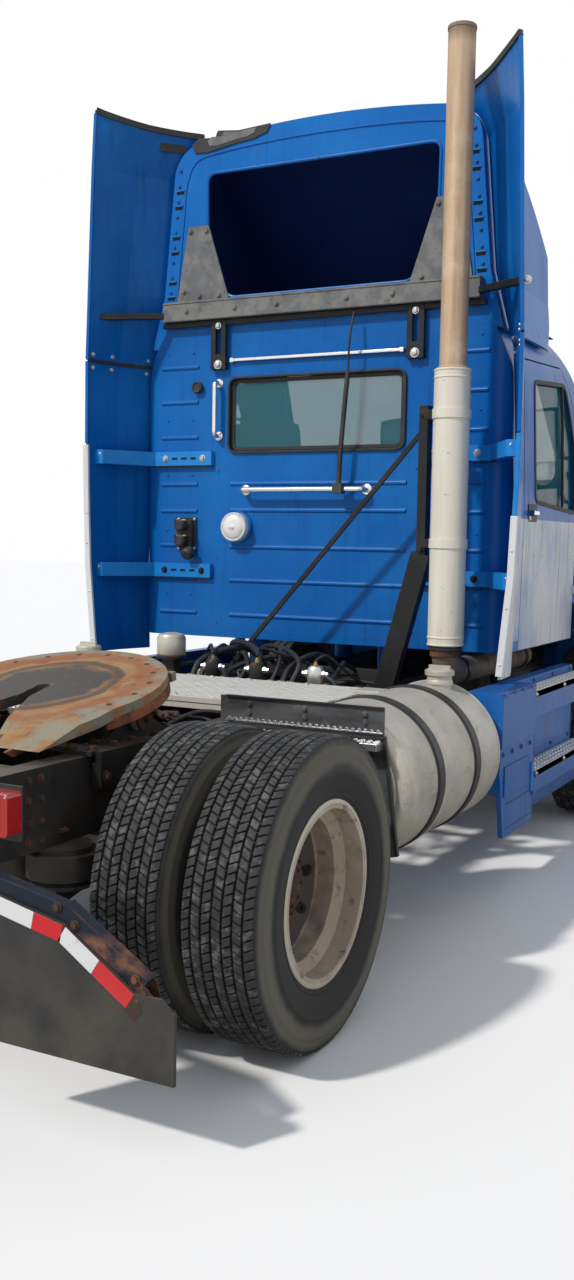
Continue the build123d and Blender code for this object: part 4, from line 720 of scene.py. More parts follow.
def addBlock(s, centre, angle, half, lean, low, high, drops):  # one tread block, with its two edges' drops
    inset, middle, verts = tyre["chamfer"], (low + high) / 2, []
    base, top = tyre["base"], tyre["radius"]
    for r, pull in ((base - 0.002, 0), (top - inset, 0), (top, inset)):
        for x, way in ((low + pull, -1), (high - pull, -1), (high - pull, 1), (low + pull, 1)):
            a = angle + way * (half - pull) + lean / top * (1 if x > middle else -1)
            reach = r - (drops[x > middle] if r > base else 0)
            verts.append(centre + vec(x, math.cos(a) * reach, math.sin(a) * reach))
    side = [(a + i, a + (i + 1) % 4, a + 4 + (i + 1) % 4, a + 4 + i) for a in (0, 4) for i in range(4)]
    s.put(verts, [(8, 9, 10, 11), *side])


def addTyre(s, x, y, style):
    wall, base, half = tyre["wall"], tyre["base"], tyre["baseHalf"]
    profile = [*wall, (base, half), (base, -half), *[(r, -h) for r, h in wall[::-1]],
               (0.286, -0.09), (0.286, 0.09)]
    s.lathe(profile, (x, y, wheelZ), left, 120, True)
    rows, count, width = style["rows"], style["blocks"], tyre["treadWidth"]
    rib = (width - tyre["ribGap"] * (rows - 1)) / rows
    blockHalf = math.pi / count - style["gap"] / 2 / tyre["radius"]
    for row in range(rows):
        low = -width / 2 + row * (rib + tyre["ribGap"])
        drops = (tyre["edgeDrop"] * (row == 0), tyre["edgeDrop"] * (row == rows - 1))
        lean = style["slant"] * (1 if row % 2 else -1)
        for angle in turns(count, 0.5 if row % 2 else 0.0):
            addBlock(s, vec(x, y, wheelZ), angle, blockHalf, lean, low, low + rib, drops)


def makeTyres():
    for side, sign in sides:
        for end, y, piece, was in (
            ("front", frontAxle, "tyre_front_", "front_tyre_"),
            ("rear", rearAxle, "tyres_rear_", "rear_tyres_")
        ):
            s = Shape("tyre" + end.title())
            for x in tyre[end]["places"]:
                addTyre(s, sign * x, y, tyre[end])
            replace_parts(s.make(piece + side, "wheel_" + end + "_" + side, "tyre_rubber"), was + side)


makeTyres()
print("tyres ready")

hub = {
    "nuts": 10, "nutCircle": 0.143, "nutRadius": 0.0165, "capBolts": 8,
    "front": {"y": frontAxle, "face": 1.141, "cap": 1.205, "capRadius": 0.062, "rim": 1.04,
              "keys": ("rimFront", "steel", "bright")},
    "rear": {"y": rearAxle, "face": 0.986, "cap": 1.0575, "capRadius": 0.078, "rim": 1.075,
             "keys": ("rimRear", "rustySteel", "rimRear")},
}


def makeHub(end, side, sign):
    h = hub[end]
    y, cap, capR, rimX = h["y"], h["cap"], h["capRadius"], h["rim"]
    rimKey, steelKey, flangeKey = h["keys"]
    out = (sign, 0, 0)
    s = Shape("steel")

    def about(x, r, angles):  # places on a circle round the axle
        return [(sign * x, y + r * math.cos(a), wheelZ + r * math.sin(a)) for a in angles]

    for at in about(h["face"], hub["nutCircle"], turns(hub["nuts"], 0.5)):
        s.use(rimKey).lathe([(0.026, 0), (0.026, 0.004), (0.019, 0.006)], at, out, 16)
        nut = [(hub["nutRadius"], 0.002), (hub["nutRadius"], 0.02), (0.013, 0.023), (0.0095, 0.023)]
        s.use(steelKey).lathe(nut, at, out, 6)
        s.lathe([(0.0095, 0.02), (0.0095, 0.034), (0.007, 0.037), (0, 0.037)], at, out, 10)
    disc = [(capR + 0.01, -0.012), (capR + 0.01, -0.002), (capR - 0.004, 0.002), (0.03, 0.004), (0.028, 0.01)]
    s.use(steelKey).lathe([*disc, (0, 0.012)], (sign * cap, y, wheelZ), out, 36)
    s.bolts(about(cap + 0.001, capR - 0.014, turns(hub["capBolts"])), out, 0.006, 0.006)
    # the rim's lip, a little proud of the rim, is bright: partly worn metal, partly painted highlight
    flange = [(0.3025, 0.1045), (0.3055, 0.11), (0.305, 0.1165), (0.301, 0.1192),
              (0.29, 0.1196), (0.2885, 0.1178)]
    s.use(flangeKey).lathe(flange, (sign * rimX, y, wheelZ), out, 96)
    valve = ((-0.02, 0.255), (0.05, 0.25), (0.085, 0.235))
    s.use("hose").tube([(sign * (rimX + x), y + r, wheelZ) for x, r in valve], 0.006, 8)
    s.make("hub_" + end + "_" + side, "wheel_" + end + "_" + side, "rim_steel")


for side, sign in sides:
    for end in ("front", "rear"):
        makeHub(end, side, sign)

backWall = {
    "windowHalfWidth": 0.51, "windowBottom": 2.118, "windowTop": 2.515, "gasket": 0.024, "gasketInset": 0.018,
    "lamp": (0.442, 0.058, 1.72), "lampRadius": 0.071, "brackets": ((2.09, "steel"), (1.48, "chassisClean")),
    "couplings": (1.725, 1.64), "port": (0.703, 0.001, 2.472),
}


def makeRearWindow():
    b = backWall
    s = Shape("seal")
    w, lo, hi = b["windowHalfWidth"] - 0.001, b["windowBottom"] + 0.001, b["windowTop"] - 0.001
    loop = [(x, 0.001, z) for x, z in roundedBox(-w, w, lo, hi, 0.05, 5)]
    s.strip(loop, 0.012, b["gasket"], rear, True)
    i = b["gasketInset"]
    inner = [(x, -0.014, z) for x, z in roundedBox(-w + i, w - i, lo + i, hi - i, 0.04, 5)]
    s.strip(inner, 0.02, 0.01, rear, True)
    s.make("rear_window_gasket", "chassis", "black_plastic", 0.002)


def makeWallFittings():
    b = backWall
    s = Shape("bright").box(-0.5, 0.5, 0.015, 0.021, 2.6, 2.615)
    for x in (-0.5, 0.48):
        s.box(x, x + 0.02, 0.012, 0.022, 2.596, 2.619)
    s.use("cabBlue").rivets(grid((-0.9, -0.74, 0.74, 0.9), 0.001, (2.66, 2.3, 2.0, 1.7, 1.35)), rear, 0.007)
    s.rivets(grid((-0.575, 0.575), 0.001, (2.52, 2.02, 1.55, 1.2)), rear)
    s.use("bright")
    for x in (-0.31, 0.4):
        s.lathe([(0.028, 0), (0.03, 0.003), (0.026, 0.007), (0.014, 0.009)], (x, 0.0, 1.918), rear, 20)
    for z in (2.208, 2.49):
        s.lathe([(0.024, 0), (0.026, 0.003), (0.022, 0.007), (0.013, 0.008)], (0.574, 0.0, z), rear, 20)
    s.make("back_wall_brightwork", "chassis", "bright_steel", 0.0015)

    at, r = b["lamp"], b["lampRadius"]
    s = Shape("white")
    s.lathe([(r + 0.006, -0.03), (r + 0.007, 0.0), (r + 0.003, 0.005), (r - 0.006, 0.004)], at, rear, 40)
    s.use("lensClear")
    s.lathe([(r - 0.005, 0.002), (r * 0.8, 0.01), (r * 0.5, 0.016), (r * 0.25, 0.018),
             (0, 0.019)], at, rear, 40)
    s.use("bright").lathe([(0.02, 0.018), (0.012, 0.021), (0, 0.022)], at, rear, 16)
    s.use("cabBlue").lathe([(r + 0.014, -0.056), (r + 0.014, -0.048), (r, -0.046)], at, rear, 32)
    s.make("work_lamp", "chassis", "lamp_clear")

    s = Shape("plastic").box(0.708, 0.827, 0.0, 0.012, 1.59, 1.77)
    for z in b["couplings"]:
        at = (0.768, 0.06, z)
        socket = [(0.03, 0.0), (0.034, 0.01), (0.034, 0.022), (0.024, 0.027), (0.024, 0.034)]
        s.use("chassisClean").lathe(socket, at, rear, 20)
        s.use("seal").lathe([(0.024, 0.034), (0.019, 0.037), (0.012, 0.032), (0, 0.03)], at, rear, 20)
        s.use("brass").box(0.735, 0.801, 0.062, 0.072, z + 0.026, z + 0.034)
        s.use("chassisClean").box(0.795, 0.806, 0.045, 0.075, z - 0.012, z + 0.034)
    plug = [(0.034, 0), (0.036, 0.02), (0.03, 0.045), (0.024, 0.05), (0, 0.05)]
    s.use("plastic").lathe(plug, (0.73, 0.035, 1.585), (0, 0.9, -0.44), 20)
    s.use("steel").bolts(grid((0.716, 0.818), 0.012, (1.6, 1.76)), rear, 0.006, 0.005)
    # dark bottom of the port's recess: painted shade
    s.use("blackAndHoleShade").lathe([(0.022, 0.0255), (0.018, 0.019), (0, 0.019)], b["port"], rear, 18)
    s.use("plastic").lathe([(0.03, 0.0), (0.032, 0.024), (0.026, 0.029),
                            (0.021, 0.0255)], b["port"], rear, 18)
    s.make("air_couplings_detail", "chassis", "black_plastic", 0.001)

    s = Shape("plastic")
    s.hose([(-0.182, 0.072, 1.905), (-0.192, 0.078, 2.1), (-0.215, 0.08, 2.38),
            (-0.226, 0.078, 2.5)], 0.013, 10)
    s.box(-0.208, -0.156, 0.046, 0.094, 1.895, 1.945)
    s.hose([(-0.226, 0.078, 2.49), (-0.236, 0.09, 2.66), (-0.245, 0.062, 2.8)], 0.006)
    s.make("line_holder", "chassis", "black_plastic", 0.001)

    s = Shape("steel")
    for z, key in b["brackets"]:
        s.use(key).bolts(grid((0.66, 0.9), 0.026, z), rear, 0.013, 0.01)
        s.use("steel").bolts(grid(1.15, (0.255, 0.283), z + 0.015), (-0.6, 0.2, 0), 0.01, 0.008)
        # dark slots in the brackets: painted shade inside the openings
        s.use("blackAndHoleShade")
        for x in (0.72, 0.78, 0.84):
            s.box(x - 0.018, x + 0.018, 0.0255, 0.0266, z - 0.006, z + 0.006)
        # dark strip on the wall just under each bracket: painted shadow
        s.use("chassisClean").box(0.605, 0.985, 0.0, 0.024, z - 0.044, z - 0.038)
    s.mirrored().make("bracket_bolts", "chassis", "bright_steel", 0.001)


dress("wall_fittings", "plastic", lambda c, n: c.x > 0.69 and c.z < 1.8 or c.z > 2.4 and c.x > 0.65)
makeRearWindow()
makeWallFittings()

fairing = {
    "slots": 9, "slotLow": 2.96, "slotHigh": 3.6, "slotWidth": 0.046, "slotHeight": 0.016, "topCap": 0.03,
    "railLow": 1.045, "railSplit": 1.78, "railTop": 2.15, "trailing": 0.338, "seam": 2.6,
    "tip": [(1.03, 1.149), (1.5, 1.191), (2.05, 1.209), (2.6, 1.208), (2.97, 1.195),
            (3.6, 1.173), (3.91, 1.157)],
    "root": [(1.03, 1.055), (1.5, 1.065), (2.05, 1.059), (2.6, 1.029), (2.69, 1.004),
             (2.97, 0.93), (3.6, 0.872),
             (3.73, 0.785), (3.91, 0.66)],
    "topEdge": [(0.6, 3.826), (0.95, 3.845), (1.185, 3.91)],  # hollow top edge of a wing
    "lip": [(0.001, 3.6), (0.664, 3.6), (0.659, 3.27), (0.534, 2.941), (0.001, 2.941)],  # round the opening
    "tornSeal": [(0.6, 3.815), (0.47, 3.8), (0.28, 3.81), (0.3, 3.77), (0.38, 3.745), (0.5, 3.735),
                 (0.66, 3.71), (0.74, 3.715), (0.76, 3.76), (0.72, 3.79), (0.615, 3.78)],
}


def flangeX(z):  # outer edge of the fairing's rim
    return 0.93 - (z - 2.97) / (3.6 - 2.97) * 0.058


def wingTip(z):
    return between(fairing["tip"], z)


def wingRoot(z):
    return between(fairing["root"], z) + 0.004


def wingAt(z, t, inner=True):  # a place on a wing's face, from the root (0) by the fold (0.5) to the edge (1)
    root, tip = wingRoot(z), wingTip(z)
    fold = (root + tip) / 2 + 0.014
    if inner:
        a, m, b = vec(root, -0.07, z), vec(fold, 0.14, z), vec(tip - 0.014, 0.336, z)
    else:
        a, m, b = vec(root + 0.014, -0.07, z), vec(fold + 0.014, 0.133, z), vec(tip, 0.336, z)
    return a.lerp(m, t * 2) if t < 0.5 else m.lerp(b, t * 2 - 1)


def tipPath(heights, inset=0.007, y=fairing["trailing"]):
    return [(wingTip(z) - inset, y, z) for z in heights]


def makeFlange():
    f = fairing
    s = Shape("blackAndHoleShade")
    w, h = f["slotWidth"] / 2, f["slotHeight"] / 2
    for k in range(f["slots"]):
        z = f["slotLow"] + (f["slotHigh"] - f["slotLow"]) * k / (f["slots"] - 1)
        x = flangeX(z) - 0.044
        if k % 3 != 2:  # two slots, then a bolt alone
            # each slot is a dark box, painted shade inside the opening, with a light blue strip along its
            # upper edge as a painted highlight
            s.use("blackAndHoleShade").box(x - w, x + w, 0.0002, 0.0012, z - h, z + h)
            s.use("freshBlue").box(x - w - 0.004, x + w + 0.004, 0.0, 0.004, z + h, z + h + 0.006)
        s.use("fairingBlue").bolt((x + 0.004, 0.001, z + 0.034), rear, 0.007, 0.006)
    rim = [(flangeX(z) - 0.082, z) for z in (2.93, 3.15, 3.4, 3.55)]
    rim += [(0.742, 3.665), (0.62, 3.7), (0.3, 3.722), (0.0, 3.728)]
    s.strip(arcPath([(x, 0.002, z) for x, z in rim], 4), 0.01, 0.006, rear)
    lip = [(x, -0.002, z) for x, z in f["lip"]]
    s.tube([lip[0], *rounded(lip, 0.055)[6:-6], lip[-1]], 0.009, 8)
    s.mirrored().make("fairing_flange", "chassis", "cab_blue")


def makeWingTrim():
    f = fairing
    s = Shape("seal")
    cap = []
    for k in range(13):
        x = 0.7 + (1.157 - 0.7) * k / 12
        z = parabola(f["topEdge"], x)
        t = (x - wingRoot(z)) / max(wingTip(z) - 0.007 - wingRoot(z), 1e-3)
        t = min(max(t, 0.0), 1.0)
        cap.append((wingAt(z, t) + wingAt(z, t, False)) / 2 - vec(0, 0, 0.004))
    s.strip(cap, 0.022, f["topCap"])
    s.use("cabBlue").strip(tipPath((2.16, 2.4, 2.594)), 0.018, 0.01, rear)
    s.strip(tipPath((2.606, 2.97, 3.3, 3.6, 3.88)), 0.018, 0.008, rear)
    s.use("seal")
    for inner in (True, False):
        s.strip([wingAt(f["seam"], t, inner) for t in (0.04, 0.25, 0.5, 0.75, 0.98)], 0.004, 0.022)
    s.use("steel")
    for t in (0.12, 0.62, 0.93):
        s.bolts([wingAt(f["seam"] + rise, t) for rise in (-0.035, 0.035)], (-0.8, 0.35, 0), 0.008, 0.007)
    s.bolt((1.205, 0.3, 2.834), (0.4, 0.9, 0), 0.014, 0.012)
    s.bolt((0.885, 0.042, 2.862), rear, 0.014, 0.012)
    s.mirrored().use("seal").plate(f["tornSeal"], 0.003, 0.007, "y")  # peeled trim, on the left corner only
    s.strip([wingAt(3.765, t) for t in (0.12, 0.2, 0.28, 0.35)], 0.006, 0.07)
    underside = [(x * 0.62 + 0.19, z * 0.62 + 1.437) for x, z in f["tornSeal"]]
    s.use("greyFrame").plate(underside, 0.007, 0.009, "y")
    s.make("wing_trim", "chassis", "black_plastic")

    s = Shape("white")
    upper = (f["railSplit"], 1.95, f["railTop"])
    s.strip(tipPath((f["railLow"], 1.3, 1.5, f["railSplit"]), 0.006, 0.343), 0.034, 0.016, rear)
    s.use("steel").rivets(tipPath((1.1, 1.36, 1.62), 0.006, 0.351), rear)
    s.mirrored().use("white").strip(tipPath(upper, 0.006, 0.343), 0.034, 0.016, rear)
    s.use("freshBlue").strip([(-x, y, z) for x, y, z in tipPath(upper, 0.006, 0.343)], 0.024, 0.012, rear)
    s.make("wing_rail", "chassis", "door_white", 0.003)

    s = Shape("greyFrame")
    gusset = ((0.66, 3.3), (0.76, 3.305), (0.8, 2.99), (0.58, 2.955), (0.7, 2.96))
    s.bolts([(x, 0.01, z) for x, z in gusset] + grid((0.2, 0.45, 0.75), 0.062, 2.874), rear, 0.012, 0.009)
    s.use("steel").bolt((0.565, 0.034, 2.585), rear, 0.017, 0.012)
    s.bolt((0.565, 0.034, 2.79), rear, 0.013, 0.01)
    for z in (2.826, 2.916):
        s.use("greyFrame").box(0.0, 0.9, 0.06, 0.066, z, z + 0.008)
    # dark strip on the wall just under the crossbar: painted shadow
    s.use("seal").box(0.0, 0.92, 0.002, 0.03, 2.796, 2.822)
    s.mirrored().make("fairing_frame_bolts", "chassis", "bright_steel", 0.001)


# the fairing's inner faces get the darker navy, which is partly painted shade
dress("roof_fairing", "navyAndShade", lambda c, n: (c - vec(0, -0.5, 3.0)).dot(n) < 0 and n.y < 0.9)
dress("fairing_frame", "chassisClean", lambda c, n: c.z < 2.822 or abs(c.x) > 0.905)
dress("side_extenders", "cabBlue", lambda c, n: n.x * c.x < 0)
makeFlange()
makeWingTrim()
print("cab back ready")

exhaust = {"x": -0.86, "y": 0.287, "seams": (1.176, 1.21, 2.416, 2.45), "clamps": (1.65, 2.25), "tip": 3.972,
           "floorRings": (0.1, -0.42, -0.86)}


def makeExhaust():
    x, y = exhaust["x"], exhaust["y"]
    s = Shape("exhaust")
    for z in exhaust["seams"]:
        s.lathe([(0.084, -0.006), (0.0878, -0.003), (0.0878, 0.003), (0.084, 0.006)], (x, y, z), up, 40)
    s.lathe([(0.0625, -0.012), (0.072, -0.008), (0.078, 0.0), (0.0625, 0.01)], (x, y, 2.46), up, 40)
    s.pipe((x, y, exhaust["tip"]), up, 0.0665, 0.06, 0.016, 40)
    for z in exhaust["clamps"]:
        s.use("exhaust").pipe((x, y, z - 0.016), up, 0.0905, 0.0865, 0.032, 40).use("chassisClean")
        for t in (-0.03, 0.03):
            s.box(x + 0.088, x + 0.125, y + t - 0.008, y + t + 0.008, z - 0.02, z + 0.02)
        s.bolt((x + 0.125, y, z), left, 0.01, 0.01)
    s.use("rustySteel").pipe((x, y, 1.12), up, 0.0725, 0.0625, 0.036, 32)
    s.use("seal").pipe((x, y, 1.15), up, 0.079, 0.062, 0.016, 32)
    s.use("chassisClean")
    for ringY in exhaust["floorRings"]:
        s.pipe((x, ringY, 1.038), rear, 0.0705, 0.0635, 0.03)
    s.bolts(grid(-0.71, 0.262, (2.26, 1.62)), rear, 0.014, 0.012)
    s.make("exhaust_clamps", "chassis", "bright_steel", 0.001)


dress("stack_support", "exhaust", lambda c, n: math.hypot(c.x - exhaust["x"], c.y - exhaust["y"]) < 0.105)
makeExhaust()

tank = {"x": 0.904, "z": 0.718, "radius": 0.312, "front": 0.48, "rear": 1.59, "straps": (0.82, 1.25),
        "strapHalf": 0.031, "latchAngle": 128, "neckY": 0.63}


def isStrap(c, n):  # the straps' bands and the brackets towards the frame
    nearStrap = min(abs(c.y - y) for y in tank["straps"]) < 0.0265
    away = math.hypot(abs(c.x) - tank["x"], c.z - tank["z"])
    return nearStrap and away > 0.3135 or abs(c.x) < 0.585


def makeTanks():
    x, z, r, w = tank["x"], tank["z"], tank["radius"], tank["strapHalf"]
    s = Shape("seal")
    for y in tank["straps"]:
        pad = [(0.3135, -w - 0.006), (0.3165, -w - 0.006), (0.3165, w + 0.006), (0.3135, w + 0.006)]
        s.use("seal").lathe(pad, (x, y, z), rear, 72, True)
        strap = [(0.3165, -w), (0.3195, -w + 0.003), (0.3195, w - 0.003), (0.3165, w)]
        s.use("chassisClean").lathe(strap, (x, y, z), rear, 72, True)
        a = math.radians(tank["latchAngle"])
        at = vec(x + 0.322 * math.cos(a), y, z + 0.322 * math.sin(a))
        s.box(at.x - 0.014, at.x + 0.014, y - 0.025, y + 0.025, at.z - 0.012, at.z + 0.02)
        s.use("steel").tube([at + vec(-0.02, 0, 0.0), at + vec(-0.11, 0, -0.05)], 0.008, 8)
    s.use("aluminium")
    seam = [(0.311, -0.009), (0.3145, -0.006), (0.315, 0.0), (0.3145, 0.006), (0.311, 0.009)]
    for y, d in ((tank["front"], -1), (tank["rear"], 1)):
        s.lathe(seam, (x, y - d * 0.046, z), rear, 72)
        s.lathe([(0.262, -0.004), (0.258, 0.004), (0.245, 0.006), (0.235, -0.001)], (x, y, z), (0, d, 0), 56)
        s.lathe([(0.1, -0.002), (0.09, 0.004), (0.03, 0.006), (0, 0.006)], (x, y, z), (0, d, 0), 32)
    neck = vec(x + 0.06, tank["neckY"], z + r)
    s.lathe([(0.06, 0.0), (0.06, 0.012), (0.056, 0.02)], neck, up, 32)
    s.lathe([(0.062, 0.036), (0.066, 0.04), (0.066, 0.058), (0.06, 0.064), (0.02, 0.066),
             (0, 0.066)], neck, up, 12)
    s.box(neck.x - 0.05, neck.x + 0.05, neck.y - 0.008, neck.y + 0.008, neck.z + 0.064, neck.z + 0.082)
    s.use("brass").bolt((x, 1.03, z - r), down, 0.014, 0.012)
    s.use("aluminium").box(x - 0.16, x - 0.04, 0.95, 1.07, z + 0.296, z + r)
    s.mirrored().make("tank_fittings", "chassis", "bare_aluminium", 0.001)


dress("fuel_tanks", "chassisClean", isStrap)
makeTanks()

deckPlate = {"x": 0.735, "front": 0.79, "rear": 1.48, "top": 1.004, "pitch": 0.034, "barLength": 0.0125,
             "barWidth": 0.0035, "barHeight": 0.0022}
grip = {"x0": 0.462, "x1": 1.124, "top": 0.9195, "holes": 22, "teeth": 26,
        "toothPitch": 0.0252}  # on the guards


def makeDeck():
    d = deckPlate
    s = Shape("deck")
    p, z, crest = d["pitch"], d["top"], d["top"] + d["barHeight"]
    for i in range(int((d["rear"] - d["front"] - 0.03) / p)):
        for j in range(int((2 * d["x"] - 0.04) / p)):
            x, y = -d["x"] + 0.028 + j * p, d["front"] + 0.022 + i * p
            a = math.radians(45 if (i + j) % 2 else -45)
            ux, uy = math.cos(a) * d["barLength"], math.sin(a) * d["barLength"]
            vx, vy = -math.sin(a) * d["barWidth"], math.cos(a) * d["barWidth"]
            base = [(x - ux, y - uy, z), (x + vx, y + vy, z), (x + ux, y + uy, z), (x - vx, y - vy, z)]
            ridge = [(x - ux * 0.4, y - uy * 0.4, crest), (x + ux * 0.4, y + uy * 0.4, crest)]
            s.put(base + ridge, [(0, 3, 4), (3, 2, 5, 4), (2, 1, 5), (1, 0, 4, 5)])
    ends = (d["front"] + 0.03, d["rear"] - 0.03)
    s.use("steel").bolts(grid((-0.69, -0.4, -0.1, 0.1, 0.4, 0.69), ends, z), up, 0.01, 0.006)
    for y in (d["rear"], d["front"] - 0.004):
        s.use("deck").box(-d["x"], d["x"], y, y + 0.004, z - 0.022, z + 0.0005)
    s.make("deck_tread", "chassis", "bare_aluminium")


def makeGuardGrip():
    x0, x1, top = grip["x0"], grip["x1"], grip["top"]
    s = Shape("bright").box(x0, x1, 1.616, 1.684, 0.917, top)
    for i in range(grip["holes"]):
        for j in range(3):
            at = (0.478 + i * 0.03, 1.628 + j * 0.022, top)
            s.lathe([(0.0105, 0.0), (0.0085, 0.007), (0.006, 0.007), (0.005, 0.001)], at, up, 8)
    for i in range(grip["teeth"]):
        x = 0.468 + i * grip["toothPitch"]
        s.plate([(x, top), (x + 0.016, top), (x + 0.01, 0.93), (x + 0.006, 0.93)], 1.681, 1.6845, "y")
        s.plate([(x, 0.956), (x + 0.017, 0.956), (x + 0.013, 0.965), (x + 0.004, 0.965)], 1.6335, 1.6375, "y")
    s.box(x0, x1, 1.6335, 1.6365, 0.951, 0.9562)
    s.box(x0, x1, 1.6845, 1.687, 0.893, 0.92)
    s.use("guard").bolts(grid((0.56, 0.8, 1.05), 1.625, (0.985, 1.018)), rear, 0.01, 0.008)
    s.use("chassisClean").box(0.46, 1.126, 1.622, 1.634, 1.04, 1.049)
    s.box(0.46, 1.126, 1.622, 1.634, 0.928, 0.936)
    edge = [(1.126, 1.62, 0.94), (1.16, 1.62, 0.7), (1.188, 1.62, 0.502)]
    s.use("seal").strip(edge, 0.012, 0.018, rear)
    s.mirrored().make("guard_grip", "chassis", "bright_steel", 0.0008)


makeDeck()
makeGuardGrip()

coupling = {
    "centre": (0.0, 2.16, 1.02), "tilt": 12, "top": 0.085, "bottom": 0.047, "radius": 0.457,
    "ribs": (-0.34, -0.2, 0.2, 0.34), "pinX": 0.39, "springTurns": 56, "pinHoles": 12,
}


def makeCoupler():  # in the plate's own frame, whose origin is on the rocking pin
    c = coupling
    s = Shape("redSteel")
    s.place = Matrix.Translation(c["centre"]) @ Matrix.Rotation(math.radians(-c["tilt"]), 4, "X")
    top, low, r = c["top"], c["bottom"], c["radius"] * 0.992
    arc = [math.radians(a) for a in range(-205, 26, 5)]
    s.strip([(r * math.cos(a), r * math.sin(a), low - 0.012) for a in arc], 0.016, 0.036)
    s.use("rustySteel")
    for x in (-c["pinX"], c["pinX"]):
        for lug in (-1, 1):
            end = [(0.046, 0), (0.046, 0.012), (0.036, 0.016), (0.0, 0.016)]
            s.lathe(end, (x + lug * 0.04, 0, 0), (lug, 0, 0), 20)
            s.bolt((x + lug * 0.056, 0, 0), (lug, 0, 0), 0.014, 0.012)
    s.use("redSteel")
    for x in c["ribs"]:
        s.box(x - 0.007, x + 0.007, -0.22, 0.1, low - 0.03, low + 0.001)
    for x in (-0.26, 0.26):
        horn = [(0.12, low - 0.028), (0.5, low - 0.028), (0.535, low + 0.001), (0.12, low + 0.001)]
        s.plate(horn, x - 0.006, x + 0.006, "x")
    lever = ((-0.06, -0.1, -0.028), (-0.24, -0.13, -0.034), (-0.44, -0.05, -0.036), (-0.52, 0.0, -0.036))
    s.use("rustySteel").hose([(x, y, low + drop) for x, y, drop in lever], 0.011, 10)
    handle = ((-0.5, -0.03), (-0.545, 0.012), (-0.565, 0.0), (-0.55, -0.04), (-0.5, -0.035))
    s.tube([(x, y, low - 0.036) for x, y in handle], 0.009, 8)
    spring = [(k * 0.003, k * 0.9) for k in range(c["springTurns"])]
    coil = [(0.13 + x, -0.12 + 0.02 * math.cos(a), low - 0.03 + 0.02 * math.sin(a)) for x, a in spring]
    s.tube(coil, 0.0034, 6)
    s.use("steel").box(-0.0265, 0.0265, -0.11, -0.028, low - 0.04, low + 0.012)
    s.use("rustySteel").bolts(grid((-0.09, 0.09), (-0.09, -0.04), low - 0.046), down, 0.013, 0.012)
    s.use("brass")
    for x in (-0.3, 0.3):
        nipple = [(0.007, 0), (0.007, 0.004), (0.004, 0.006), (0.005, 0.012), (0, 0.013)]
        s.lathe(nipple, (x, -0.2, low - 0.001), down, 8)
    s.use("rustySteel")
    for k in range(c["pinHoles"]):
        a = math.radians(-198 + k * 18)
        cup = [(0.0115, 0), (0.0095, 0.0012), (0.006, 0.0004), (0, 0.0004)]
        s.lathe(cup, (0.405 * math.cos(a), 0.405 * math.sin(a), top), up, 12)
    s.make("coupler_details", "fifth_wheel", "cast_steel")


def makeCouplerBase():
    s = Shape("rustySteel")
    s.bolts(grid((0.345, 0.435), (1.9, 1.99, 2.09, 2.23, 2.34, 2.46), 0.946), up, 0.015, 0.014)
    s.bolts(grid((0.0, 0.18), (1.9, 2.42), 0.946), up, 0.012, 0.01)
    angle = [(0.452, 0.905), (0.452, 0.946), (0.478, 0.946), (0.478, 0.82), (0.44, 0.82), (0.44, 0.905)]
    s.use("chassisClean").plate(angle, 1.85, 2.47, "y")
    s.use("rustySteel").bolts(grid(0.478, (1.88, 2.0, 2.16, 2.32, 2.44), 0.86), left, 0.014, 0.012)
    s.mirrored().make("coupler_base_bolts", "chassis", "chassis_black", 0.001)


makeCoupler()
makeCouplerBase()

hardware = {
    "boltRows": (-2.72, -2.66, -1.18, -1.1, -0.45, -0.39, 0.3, 0.87, 0.93, 1.72, 1.78, 2.72, 2.78, 3.0, 3.06),
    "boltHeights": (0.7, 0.76, 0.83, 0.895), "railX": 0.43, "gussets": (-0.42, 0.9, 1.75, 2.75),
    "frontClips": (-1.885, -1.775), "rearClips": (2.155, 2.265), "springEyes": (-2.505, -1.155),
}


